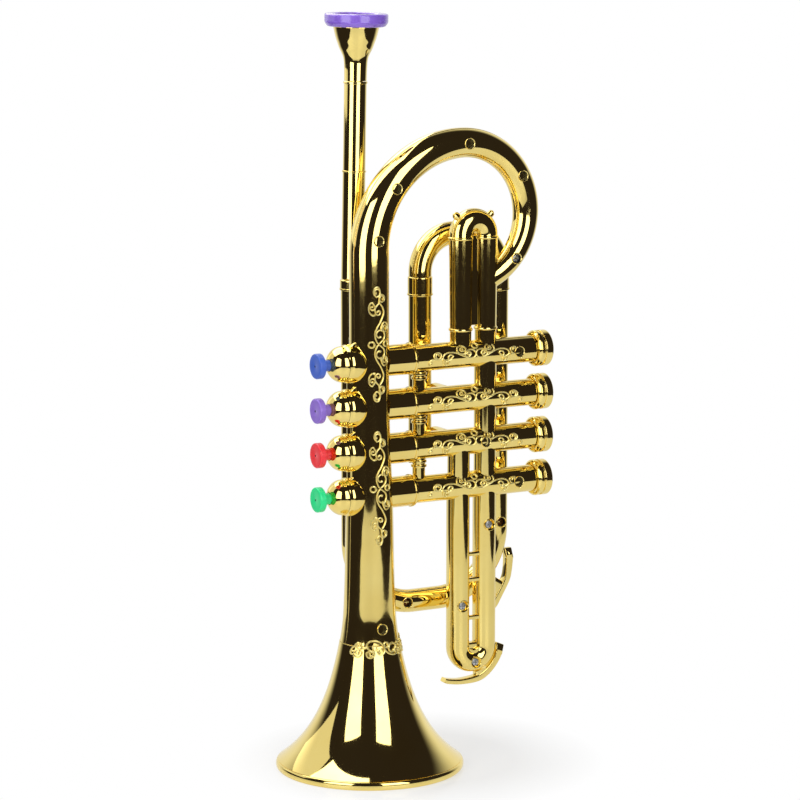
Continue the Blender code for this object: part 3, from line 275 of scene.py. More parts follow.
def grid_quads(rows: int, columns: int, wrap_rows: bool = False, wrap_columns: bool = True) -> Array:
    """Corners of the faces between neighbouring rows and columns of a grid of points.

    Args:
        rows: Number of rows of points.
        columns: Points in a row.
        wrap_rows: Join the last row to the first.
        wrap_columns: Join the last column to the first.

    Returns:
        An array of four point numbers for each face.
    """
    row = np.arange(rows if wrap_rows else rows - 1)[:, None]
    column = np.arange(columns if wrap_columns else columns - 1)[None, :]
    below, right = (row + 1) % rows, (column + 1) % columns
    corners = (row * columns + column, below * columns + column, below * columns + right,
               row * columns + right)
    return np.stack([np.broadcast_to(corner, (row.size, column.size)).ravel()
                     for corner in corners], axis=1)


def unit(vectors: Array) -> Array:
    """The same vectors with a length of one."""
    return vectors / np.maximum(np.linalg.norm(vectors, axis=-1, keepdims=True), 1e-9)


def at_depth(flat: Array, depth: Array | float) -> Array:
    """Points in space from flat places (X, Z) and their Y."""
    return np.stack([flat[..., 0], np.broadcast_to(depth, flat.shape[:-1]), flat[..., 1]], -1)


def capped(rings: Array, tips: Array) -> Surface:
    """Join rings of points into a tube, and close it by a fan to a point at each end.

    Args:
        rings: Closed rings along the tube, each with the same number of points.
        tips: The two end points.

    Returns:
        The closed surface.
    """
    count, sides = rings.shape[:2]
    near = np.arange(sides)
    after, far = (near + 1) % sides, near + (count - 1) * sides
    fans = [np.stack([near, after, np.full(sides, count * sides)], 1),
            np.stack([far[after], far, np.full(sides, count * sides + 1)], 1)]
    return Surface(np.concatenate([rings.reshape(-1, 3), tips]), grid_quads(count, sides),
                   np.concatenate(fans))


def rounded(profile: Iterable[tuple[float, float]], radius: float, steps: int = 5,
            closed: bool = True) -> Array:
    """Round the corners of an outline.

    Each corner becomes the quadratic curve that touches both its sides at the same distance,
    with one more point on each side to keep the flats flat.

    Args:
        profile: Corner points of the outline.
        radius: Distance from a corner at which its curve starts, at most a third of a side.
        steps: Points on each curve.
        closed: Whether the last point joins the first.

    Returns:
        The rounded outline as an array of points.
    """
    points = np.asarray(list(profile), float)
    before, after = np.roll(points, 1, 0) - points, np.roll(points, -1, 0) - points
    shorter = np.minimum(np.linalg.norm(before, axis=1), np.linalg.norm(after, axis=1))
    reach = np.minimum(radius, np.maximum(shorter, 1e-9) * 0.3)[:, None]
    away, onward = unit(before) * reach, unit(after) * reach
    share = np.linspace(0, 1, steps)[None, :, None]
    curve = points[:, None] + away[:, None] * (1 - share) ** 2 + onward[:, None] * share ** 2
    outline = np.concatenate([(points + away * 1.6)[:, None], curve, (points + onward * 1.6)[:, None]], 1)
    if closed:
        return outline.reshape(-1, 2)
    return np.concatenate([points[:1], outline[1:-1].reshape(-1, 2), points[-1:]])


def lathe(profile: Array, axis: str = "Z", origin: Iterable[float] = (0, 0, 0), sides: int = 96) -> Surface:
    """Turn a closed outline of (radius, height) points about an axis.

    A point lies at origin + height along the axis + radius at each of the side angles.

    Args:
        profile: Closed outline; points of radius zero close on the axis.
        axis: Direction of the heights, "X", "Y" or "Z".
        origin: Where height zero lies.
        sides: Number of angles.

    Returns:
        The turned surface.
    """
    profile = np.asarray(profile, float)
    turn = np.linspace(0, math.tau, sides, endpoint=False)[None, :]
    radius, height = profile[:, 0][:, None], profile[:, 1][:, None]
    across, up, along = radius * np.cos(turn), radius * np.sin(turn), height + 0 * turn
    order = {"Z": (across, up, along), "X": (along, across, up), "Y": (across, along, up)}[axis]
    points = np.stack(order, axis=-1).reshape(-1, 3) + np.asarray(tuple(origin), float)
    return Surface(points, grid_quads(len(profile), sides, wrap_rows=True))


def rod(radius: float, low: float, high: float, axis: str, origin: Iterable[float], edge: float = 0.4,
        sides: int = 40) -> Surface:
    """A plain round bar between two heights along an axis, with rounded ends."""
    return lathe(rounded([(0, low), (radius, low), (radius, high), (0, high)], edge), axis, origin, sides)


@dataclass(frozen=True)
class Track:
    """A flat centre line of straight runs and bends in a plane of constant Y."""

    start: tuple[float, float]
    heading: float
    runs: tuple[tuple[float, float], ...]
    plane: float = 0.0

    @property
    def length(self) -> float:
        """Length of the whole line."""
        return sum(length for length, _ in self.runs)

    def at(self, along: Array) -> tuple[Array, Array, Array, Array]:
        """Find places on the line.

        A run's end lies at its length times sin(half turn) / (half turn) along its mean heading,
        and so does each place on it, with its own share of the turn.

        Args:
            along: Distances from the start.

        Returns:
            Places (X, Z), unit tangents, unit normals to the left, and curvatures.
        """
        def step(length: Array, heading: Array, turn: Array) -> Array:
            """The way from a run's start to a place on it, past which it has turned so far."""
            chord, mean = length * np.sinc(turn / math.tau), heading + turn / 2
            return np.stack([chord * np.cos(mean), chord * np.sin(mean)], -1)

        lengths, turns = np.array(self.runs, float).T
        turns = np.radians(turns)
        starts = np.concatenate([[0], np.cumsum(lengths)[:-1]])
        headings = math.radians(self.heading) + np.concatenate([[0], np.cumsum(turns)[:-1]])
        steps = step(lengths, headings, turns)
        origins = np.array(self.start) + np.concatenate([[[0, 0]], np.cumsum(steps, 0)[:-1]])
        along = np.asarray(along, float)
        run = np.clip(np.searchsorted(starts, along, side="right") - 1, 0, len(lengths) - 1)
        curvature = (turns / lengths)[run]
        swept = curvature * (along - starts[run])
        final = headings[run] + swept
        tangent = np.stack([np.cos(final), np.sin(final)], -1)
        normal = np.stack([-np.sin(final), np.cos(final)], -1)
        return origins[run] + step(along - starts[run], headings[run], swept), tangent, normal, curvature


@dataclass(frozen=True)
class Recess:
    """One screw's recess in a near half: a raised rim, a chamfer, a straight wall and a floor."""

    along: float
    rim: float = 3.05
    hole: float = HOLE
    proud: float = 0.3
    chamfer: float = 0.35


class Side(Enum):
    """The half of a tube that a moulding makes: the middle angle of its wall, from -Y."""

    NEAR = 0.0
    FAR = math.pi


@dataclass
class TubeHalf:
    """One moulded half of a tube that follows a track.

    The wall's outer point lies at centre + left normal times radius times sin(angle), and
    radius times cos(angle) towards -Y; the halves part where that depth is the seam's.
    """

    track: Track
    profile: Array
    side: Side
    columns: int = 41
    recesses: tuple[Recess, ...] = ()
    deep: float = 1.0
    wall: float = 1.5
    # The outer edge's rounding at the seam: how far in from it, and how far below the wall.
    rounding: tuple[tuple[float, float], ...] = ((0.28, 0.0), (0.13, 0.03), (0.04, 0.11), (0.0, 0.24))
    # Half the length of a recess's block of faces, over its rim's radius.
    block: float = 1.4

    def radius(self, along: Array) -> Array:
        """Outer radius at distances along the track."""
        return np.interp(along, self.profile[:, 0], self.profile[:, 1])

    def skin(self, along: Array, lateral: Array) -> Array:
        """Find points of the near wall.

        Args:
            along: Distances along the track.
            lateral: Distances to its left.

        Returns:
            The points.
        """
        place, _, normal, _ = self.track.at(along)
        depth = np.sqrt(np.maximum(self.radius(along) ** 2 - lateral ** 2, 0))
        return at_depth(place + normal * lateral[..., None], self.track.plane - depth)

    def rows(self) -> Array:
        """Put closer rows into the profile around each recess.

        Returns:
            Rows of (distance, radius).
        """
        rows = self.profile
        for recess in self.recesses:
            reach = recess.rim * self.block
            near = recess.along + np.linspace(-1, 1, 13) * reach
            kept = rows[np.abs(rows[:, 0] - recess.along) > reach + 0.35]
            rows = np.insert(kept, np.searchsorted(kept[:, 0], near),
                             np.stack([near, self.radius(near)], 1), axis=0)
        return rows

    def section(self, radii: Array) -> tuple[Array, Array]:
        """Angles and radii of the half's closed section.

        Args:
            radii: Outer radius of each row.

        Returns:
            Two arrays, one row each for a row of the tube: outer wall, then inner wall back.
        """
        depth = SEAM + (CLEAR / 2 if self.side is Side.NEAR else -CLEAR / 2)
        inset, sink = np.array(self.rounding).T
        core = np.linspace(-1, 1, self.columns)[1:-1]
        share = np.concatenate([-np.ones(inset.size), core, np.ones(inset.size)])
        back = np.concatenate([inset[::-1], np.full(core.size, inset[0]), inset])
        low = np.concatenate([sink[::-1], np.zeros(core.size), sink])
        outer = radii[:, None]

        def reach(radius: Array) -> Array:
            """Half the angle that the half's wall spans at a radius."""
            turn = np.arccos(np.clip(depth / np.maximum(radius, 1e-6), -0.985, 0.985))
            return turn if self.side is Side.NEAR else math.pi - turn

        inner = np.maximum(outer - self.wall, min(SEAM + 0.05, float(radii.min())) * 0.9)
        outer_turn = share * (reach(outer) - back / np.maximum(outer, 1e-6))
        inner_turn = share * reach(inner)
        turns = np.concatenate([outer_turn, inner_turn[:, ::-1]], 1) + self.side.value
        depths = np.concatenate([outer - low, np.broadcast_to(inner, outer_turn.shape)], 1)
        return turns, depths

    def build(self) -> list[Surface]:
        """Make the half as one closed surface with its recesses punched in.

        Returns:
            The surface, in a list.
        """
        rows = self.rows()
        turns, depths = self.section(rows[:, 1])
        place, _, normal, _ = self.track.at(rows[:, 0])
        flat = place[:, None] + normal[:, None] * (depths * np.sin(turns))[..., None]
        nearer = depths * np.cos(turns)
        nearer = np.where(nearer < 0, nearer * self.deep, nearer)
        points = at_depth(flat, self.track.plane - nearer)
        count, columns = turns.shape
        outer = np.arange(columns // 2 - 1)
        end = np.stack([outer, outer + 1, columns - 2 - outer, columns - 1 - outer], 1)
        whole = Surface(points.reshape(-1, 3), grid_quads(count, columns))
        for recess in self.recesses:
            kept, patch = self.punch(recess, rows, points, whole.quads, len(whole.points))
            whole = Surface(np.concatenate([whole.points, patch.points]), np.concatenate([kept, patch.quads]),
                            np.concatenate([whole.tris, patch.tris]))
        whole.quads = np.concatenate([whole.quads, end, end + (count - 1) * columns])
        return [whole]

    def punch(self, recess: Recess, rows: Array, points: Array, quads: Array,
              first: int) -> tuple[Array, Surface]:
        """Take a block of faces out of the wall and put a round recess in its place.

        Rings run from the block's border to the rim's circle on the wall, then up over the rim,
        down its chamfer and its wall, and across its floor.

        Args:
            recess: The recess to make.
            rows: Distance and radius of each row.
            points: Grid of the half's points.
            quads: The half's faces so far.
            first: Number of the first new point.

        Returns:
            The faces without the block, and the patch that fills it.
        """
        columns = points.shape[1]
        inside = np.flatnonzero(np.abs(rows[:, 0] - recess.along) <= recess.rim * self.block + 0.03)
        top, bottom = inside[0], inside[-1]
        radius = float(self.radius(np.array(recess.along)))
        middle = (columns // 2 - 1) / 2
        place, tangent, normal, curvature = self.track.at(np.array(recess.along))
        row = points[(top + bottom) // 2, :columns // 2]
        aside = (row[:, [0, 2]] - place) @ normal
        near = np.flatnonzero((np.abs(aside) <= min(recess.rim * self.block, radius * 0.93))
                              & (row[:, 1] < self.track.plane - SEAM - 0.4))
        span = int(min(middle - near[0], near[-1] - middle))
        left, right = int(math.ceil(middle - span)), int(math.floor(middle + span))
        q_row, q_column = np.divmod(quads[:, 0], columns)
        in_block = (q_row >= top) & (q_row < bottom) & (q_column >= left) & (q_column < right)
        down, across = np.arange(top, bottom), np.arange(left, right)
        border = np.concatenate([top * columns + across, down * columns + right,
                                 bottom * columns + across[::-1] + 1, (down[::-1] + 1) * columns + left])
        edge = points.reshape(-1, 3)[border]
        flat = edge[:, [0, 2]] - place
        start = np.stack([flat @ tangent, flat @ normal], 1)
        turn = np.arctan2(start[:, 1], start[:, 0])
        circle = np.stack([np.cos(turn), np.sin(turn)], 1)
        shares = np.array([0.3, 0.6, 0.85, 1.0])[:, None, None]
        flat_rings = start * (1 - shares) + circle * recess.rim * shares
        hole, chamfer = recess.hole, recess.chamfer
        base, floor = self.track.plane - radius - recess.proud, self.track.plane - SEAT
        steps = np.array([(recess.rim, base + 0.12), (recess.rim - 0.05, base + 0.03),
                          (recess.rim - 0.15, base), (hole + chamfer, base),
                          (hole + chamfer * 0.8, base + 0.04), (hole + 0.05, base + chamfer * 0.8),
                          (hole, base + chamfer), (hole, base + chamfer + 0.15), (hole, floor - 0.1),
                          (hole - 0.1, floor), (hole * 0.5, floor)])
        spots = place + (circle @ np.stack([tangent, normal])) * steps[:, :1, None]
        stack = np.concatenate([self.on_wall(recess.along, flat_rings, float(curvature)),
                                at_depth(spots, steps[:, 1:])])
        count = len(border)
        ids = np.concatenate([border[None], first + np.arange(stack.shape[0] * count).reshape(-1, count)])
        after = np.roll(ids, -1, 1)
        faces = np.stack([ids[:-1], ids[1:], after[1:], after[:-1]], -1).reshape(-1, 4)
        centre = np.array([[place[0], floor, place[1]]])
        fan = np.stack([ids[-1], np.full(count, first + stack.shape[0] * count), after[-1]], 1)
        return quads[~in_block], Surface(np.concatenate([stack.reshape(-1, 3), centre]), faces, fan)

    def on_wall(self, along: float, flat: Array, curvature: float) -> Array:
        """Points of the near wall above flat places beside a track point.

        On a bend the place's distance from the bend's centre gives how far it is to the left,
        and its angle there gives how far it is along.

        Args:
            along: Distance of the track point.
            flat: Places as (along tangent, along normal).
            curvature: The track's curvature there.

        Returns:
            The wall's points.
        """
        ahead, aside = flat[..., 0], flat[..., 1]
        if abs(curvature) < 1e-6:
            return self.skin(along + ahead, aside)
        centre, sign = 1 / curvature, math.copysign(1, curvature)
        reach = np.hypot(ahead, centre - aside)
        swept = np.arctan2(sign * ahead, sign * (centre - aside))
        return self.skin(along + swept * centre, centre - sign * reach)


def halves(track: Track, profile: Array, recesses: tuple[Recess, ...] = (), columns: int = 41,
           deep: float = 1.0) -> tuple[list[Surface], list[Surface]]:
    """The near and the far half of a tube.

    Args:
        track: Its centre line.
        profile: Rows of (distance, radius).
        recesses: Screw recesses in the near half.
        columns: Points across a half.
        deep: How much deeper than round the far half's back is.

    Returns:
        Surfaces of the near half and of the far half.
    """
    return (TubeHalf(track, profile, Side.NEAR, columns, recesses).build(),
            TubeHalf(track, profile, Side.FAR, columns, deep=deep).build())


def even(length: float, radius: float, step: float = 1.6) -> Array:
    """Rows of a plain tube of one radius."""
    along = np.linspace(0, length, max(3, int(length / step) + 1))
    return np.stack([along, np.full(along.size, radius)], 1)


def banded(profile: Array, bands: Iterable[tuple[float, float, float]]) -> Array:
    """Add raised rings to a tube's rows.

    A ring's radius follows the square root of a half circle across its width.

    Args:
        profile: Rows of (distance, radius).
        bands: Middle, width and height of each ring.

    Returns:
        The rows with each ring's own rows put in.
    """
    share = np.linspace(-1, 1, 15)
    for middle, width, height in bands:
        along = middle + share * width / 2
        base = np.interp(along, profile[:, 0], profile[:, 1])
        rows = np.stack([along, base + height * np.sqrt(1 - share ** 2) ** 0.8], 1)
        kept = profile[np.abs(profile[:, 0] - middle) > width / 2 + 0.05]
        profile = np.insert(kept, np.searchsorted(kept[:, 0], along), rows, axis=0)
    return profile


def wire(path: Array, radius: Array | float, sides: int = 8) -> Surface:
    """A round bar along points in space, closed by a point at each end.

    A ring's points lie at path + radius times (side cos + up sin), where side is square to the
    path and to Y, or to X where the path runs along Y, and up is square to both.

    Args:
        path: Points along the bar.
        radius: Its radius, one for all or one for each point.
        sides: Points round the bar.

    Returns:
        The bar's surface.
    """
    path = np.asarray(path, float)
    ahead = unit(np.gradient(path, axis=0))
    guide = np.where(np.abs(ahead[:, 1:2]) < 0.9, [[0.0, 1.0, 0.0]], [[1.0, 0.0, 0.0]])
    side = unit(np.cross(ahead, guide))
    up = np.cross(side, ahead)
    turn = np.linspace(0, math.tau, sides, endpoint=False)[None, :, None]
    size = np.broadcast_to(np.asarray(radius, float), (len(path),))[:, None, None]
    rings = path[:, None] + size * (side[:, None] * np.cos(turn) + up[:, None] * np.sin(turn))
    tips = np.stack([path[0] - ahead[0] * size[0, 0] * 0.6, path[-1] + ahead[-1] * size[-1, 0] * 0.6])
    return capped(rings, tips)


def smooth_line(points: Iterable[tuple[float, float]], steps: int = 8) -> Array:
    """A smooth line through flat points.

    Between two points it is the cubic whose slope at each is half the way between the points
    on either side of it.

    Args:
        points: The points it passes.
        steps: New points for each of the given ones.

    Returns:
        The line's points.
    """
    knots = np.asarray(list(points), float)
    padded = np.concatenate([2 * knots[:1] - knots[1:2], knots, 2 * knots[-1:] - knots[-2:-1]])
    p0, p1, p2, p3 = (padded[start:len(padded) - 3 + start, None] for start in range(4))
    t = np.linspace(0, 1, steps, endpoint=False)[None, :, None]
    line = 0.5 * (2 * p1 + (p2 - p0) * t + (2 * p0 - 5 * p1 + 4 * p2 - p3) * t ** 2
                  + (3 * p1 - p0 - 3 * p2 + p3) * t ** 3)
    return np.concatenate([line.reshape(-1, knots.shape[1]), knots[-1:]])


def placed(name: str, data: bpy.types.ID) -> bpy.types.Object:
    """Put a new object into the scene.

    Args:
        name: Its name.
        data: Its mesh, lamp or camera.

    Returns:
        The object.
    """
    holder = bpy.data.objects.new(name, data)
    bpy.context.scene.collection.objects.link(holder)
    return holder


def put_together(name: str, surfaces: list[Surface], nodes: Iterable[str] = (), body: str | None = ROOT,
                 finish: Finishes = Finishes.GOLD) -> bpy.types.Object:
    """Make one piece of the toy from its surfaces.

    Args:
        name: The piece's name.
        surfaces: Closed surfaces in millimetres.
        nodes: CAD nodes that it replaces.
        body: The CAD body that it rides on, or none for a piece that two bodies share.
        finish: Its finish.

    Returns:
        The finished object, at the origin, with its place in its mesh.
    """
    starts = np.cumsum([0] + [len(surface.points) for surface in surfaces])
    points = np.concatenate([surface.points for surface in surfaces]) * MM + ORIGIN
    quads = np.concatenate([surface.quads + start for surface, start in zip(surfaces, starts)])
    tris = np.concatenate([surface.tris + start for surface, start in zip(surfaces, starts)])
    corners = np.concatenate([quads.ravel(), tris.ravel()]).astype(np.int32)
    sizes = np.repeat([4, 3], [len(quads), len(tris)])
    mesh = bpy.data.meshes.new(name)
    mesh.vertices.add(len(points))
    mesh.vertices.foreach_set("co", points.astype(np.float32).ravel())
    mesh.loops.add(len(corners))
    mesh.loops.foreach_set("vertex_index", corners)
    mesh.polygons.add(len(sizes))
    mesh.polygons.foreach_set("loop_start", (np.cumsum(sizes) - sizes).astype(np.int32))
    mesh.update(calc_edges=True)
    shape = bmesh.new()
    shape.from_mesh(mesh)
    bmesh.ops.remove_doubles(shape, verts=shape.verts, dist=2e-7)
    bmesh.ops.dissolve_degenerate(shape, edges=shape.edges, dist=1e-8)
    bmesh.ops.recalc_face_normals(shape, faces=shape.faces)
    shape.to_mesh(mesh)
    shape.free()
    mesh.shade_smooth()
    mesh.set_sharp_from_angle(angle=SHARP)
    piece = placed(name, mesh)
    dress(piece, finish)
    if body:
        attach(piece, body)
    if nodes:
        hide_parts(*nodes)
    log.info("%s: %d faces on %s", name, len(mesh.polygons), body)
    return piece


def put_halves(name: str, node: str, near: list[Surface], far: list[Surface]) -> None:
    """Make the near and the far half of a gold moulding in place of its two CAD nodes."""
    put_together(f"{name}_near_half", near, [f"{node}_near"])
    put_together(f"{name}_far_half", far, [f"{node}_far"])


# Bell and tubes


@dataclass
class Bell:
    """The flared bell with its rim band, and the hollow inside it."""

    rim_radius: float = 50.2
    rim_band: float = 4.6
    roll: float = 1.5
    ledge: float = 1.1
    flare_scale: float = 45.0
    joint_height: float = 69.0
    joint_radius: float = 16.1
    wall: float = 1.8

    def horn(self, height: Array) -> Array:
        """Find the horn's radius, which falls as a power of the height over the rim band.

        Args:
            height: Heights above the floor.

        Returns:
            Outer radii.
        """
        mouth = self.rim_radius - self.ledge
        span = self.joint_height - self.rim_band
        power = math.log(mouth / self.joint_radius) / math.log(1 + span / self.flare_scale)
        return mouth / (1 + np.maximum(height - self.rim_band, 0) / self.flare_scale) ** power

    def build(self) -> None:
        """Make the bell: rolled rim, horn, joint edge and the inner face back down.

        The roll's section is half an ellipse, from the floor to the height of the rim band.
        """
        share = np.linspace(0, 1, 70) ** 1.5
        height = self.rim_band + (self.joint_height - self.rim_band) * share
        outer = np.stack([self.horn(height), height], 1)
        turn = np.linspace(-math.pi / 2, math.pi / 2, 21)
        roll = np.stack([self.rim_radius - self.roll * (1 - np.cos(turn)),
                         self.rim_band / 2 * (1 + np.sin(turn))], 1)
        rim = np.concatenate([[(self.rim_radius - self.ledge - self.wall, 0)], roll])
        top = rounded([outer[-2], (self.joint_radius, self.joint_height),
                       (self.joint_radius - self.wall, self.joint_height)], 0.15, 4, closed=False)
        inner = np.stack([outer[::-1, 0] - self.wall, outer[::-1, 1]], 1)
        profile = np.concatenate([rim, outer[1:-2], top[:-1], inner])
        put_together("bell", [lathe(profile, sides=160)], ["bell_flare"])


@dataclass
class BellTube:
    """The bell tube with its loop, in two halves, and the inner halves of the key balls."""

    foot: float = 69.1
    taper: tuple[Flat, ...] = ((69.1, 15.85), (72, 15.35), (76, 14.8), (83, 14.1), (95, 13.55), (108, 13.15),
                               (124, 12.85), (140, 12.55), (160, 11.85), (185, 10.85), (205, 10.5),
                               (225, 10.5))
    spigot_radius: float = 14.0
    spigot: float = 6.5
    loop_start: float = 275.5
    left_bend: float = 56.0
    right_bend: float = 38.5
    end_turn: float = 62.0
    radii: tuple[float, float, float] = (7.9, 6.9, 5.7)
    # Height of the screw over the foot, and turns in degrees of those in the two bends.
    screw_rise: float = 8.6
    left_screws: tuple[float, ...] = (8.0, 38.0, 90.0)
    right_screws: tuple[float, ...] = (59.0, 129.0)
    ball_nose: float = 3.3
    shoulder: Flat = (2.6, 0.8)
    # Links between the balls: their radius, where they stand, and their start over a ball's middle.
    link_radius: float = 2.5
    link_x: float = -10.6
    link_start: float = 8.5
    # Lugs to the leadpipe, which start this far behind the tube's middle plane.
    lug_radius: float = 2.5
    lug_x: float = 0.6
    lug_start: float = 5.0

    @property
    def track(self) -> Track:
        """The centre line from the bell's joint up, round the loop and into the upper slide.

        Returns:
            The track.
        """
        quarter = math.pi / 2
        return Track((0, self.foot), 90.0,
                     ((self.loop_start - self.foot, 0.0), (self.left_bend * quarter, -90.0),
                      (self.right_bend * quarter, -90.0),
                      (self.right_bend * math.radians(self.end_turn), -self.end_turn), (3.2, 0.0)))

    def tube_radius(self, along: Array) -> Array:
        """Find the tube's radius: smooth through the taper's knots, then thinning round the loop.

        Args:
            along: Distances along the track.

        Returns:
            Outer radii.
        """
        line = smooth_line(self.taper, 12)
        low = np.interp(self.foot + along, line[:, 0], line[:, 1])
        knots = np.cumsum([length for length, _ in self.track.runs])
        thin = np.interp(along, knots, (self.taper[-1][1], *self.radii, self.radii[-1]))
        return np.where(along < knots[0], low, thin)

    def screws(self) -> tuple[float, ...]:
        """Find the screws' places.

        Returns:
            Their distances along the track.
        """
        first = self.loop_start - self.foot
        second = first + self.left_bend * math.pi / 2
        return ((self.screw_rise,)
                + tuple(first + self.left_bend * math.radians(turn) for turn in self.left_screws)
                + tuple(second + self.right_bend * math.radians(turn) for turn in self.right_screws))

    def build(self) -> None:
        """Make both halves, each with its side of the key balls."""
        track = self.track
        along = np.linspace(0, track.length, 330)
        body = np.stack([along, self.tube_radius(along)], 1)
        spigot, edge = self.spigot_radius, float(self.tube_radius(np.array(2.0)))
        foot = rounded([(-self.spigot, spigot - 1.5), (-self.spigot, spigot), (0, spigot),
                        (0, self.taper[0][1]), (2, edge)], 0.15, 4, closed=False)
        profile = np.concatenate([foot[1:-1], body[along > 1.2]])
        profile[:, 0] = np.maximum.accumulate(profile[:, 0])
        near, far = halves(track, profile, tuple(Recess(place) for place in self.screws()), columns=47)
        for height in VALVES:
            ball = self.socket(height)
            near += TubeHalf(*ball, Side.NEAR, columns=31).build() + [self.fin(height)]
            far += TubeHalf(*ball, Side.FAR, columns=31).build()
        near += [rod(self.link_radius, self.link_start, PITCH - self.link_start, "Z",
                     (self.link_x, 0, height), 0.3, 32) for height in VALVES[1:]]
        far += [rod(self.lug_radius, self.lug_start, FAR_Y, "Y", (self.lug_x, 0, height))
                for height in (VALVES[0] + PITCH, VALVES[-1] + PITCH / 2)]
        put_halves("bell_tube", "bell_tube", near, far)

    def socket(self, height: float) -> tuple[Track, Array]:
        """Draw a key ball's inner half.

        It is a round nose, a straight part and a strip of the outer sphere; towards the seam its
        radius falls by the shoulder's depth times the square of the share of its width.

        Args:
            height: Height of the key's axis.

        Returns:
            Its track and its rows.
        """
        end = -BALL_SEAM - CLEAR / 2
        track = Track((0, height), 180.0, ((end, 0.0),))
        nose, middle = -BALL_X - self.ball_nose, -BALL_X
        along = np.concatenate([nose - BALL_RADIUS * np.cos(np.linspace(0.14, 1, 24) * math.pi / 2),
                                np.linspace(nose + 0.3, end, 26)])
        off = np.where(along < nose, nose - along, np.maximum(along - middle, 0))
        radius = np.sqrt(np.maximum(BALL_RADIUS ** 2 - off ** 2, 0))
        width, depth = self.shoulder
        radius -= depth * np.clip(1 - (end - along) / width, 0, 1) ** 2
        return track, np.stack([along, radius], 1)

    def fin(self, height: float) -> Surface:
        """Make the small fin that ties the top of a key ball to the bell tube, along the seam.

        Args:
            height: Height of the key's axis.

        Returns:
            The fin.
        """
        outline = rounded([(-13.8, height + 8.9), (-11.6, height + 10.8), (-9.4, height + 11.9),
                           (-7.0, height + 11.5), (-7.0, height + 3), (-13.8, height + 3)], 0.8, 5)
        return slab(outline, -SEAM - 1.5, -SEAM - 0.2, 0.3)


def slab(outline: Array, low: float, high: float, edge: float) -> Surface:
    """A plate: a flat outline of (X, Z) points carried along Y, with rounded edges.

    Rings of the outline are drawn in by edge times (1 - cos) and set back by edge times
    (1 - sin) at each face, and a fan closes each face.

    Args:
        outline: Closed outline.
        low: Y of the near face.
        high: Y of the far face.
        edge: Radius of the edges.

    Returns:
        The plate's surface.
    """
    outline = np.asarray(outline, float)
    onward = np.roll(outline, -1, 0)
    ahead = unit(onward - np.roll(outline, 1, 0))
    area = np.sum(outline[:, 0] * onward[:, 1] - onward[:, 0] * outline[:, 1])
    inward = np.stack([-ahead[:, 1], ahead[:, 0]], 1) * math.copysign(1, area)
    turn = np.linspace(0, math.pi / 2, 5)
    draw, back = edge * (1 - np.sin(turn)), edge * (1 - np.cos(turn))
    draws, levels = np.concatenate([draw, draw[::-1]]), np.concatenate([low + back, high - back[::-1]])
    rings = outline + inward * draws[:, None, None]
    middle = np.broadcast_to(outline.mean(0), (2, 2))
    return capped(at_depth(rings, levels[:, None]), at_depth(middle, np.array([low, high])))


def plate(x: Flat, z: Flat, y: Flat, edge: float = 0.3) -> Surface:
    """A rectangular plate between two X, two heights and two Y, with rounded corners and edges."""
    (left, right), (low, high) = x, z
    return slab(rounded([(left, low), (right, low), (right, high), (left, high)], 0.3), *y, edge)


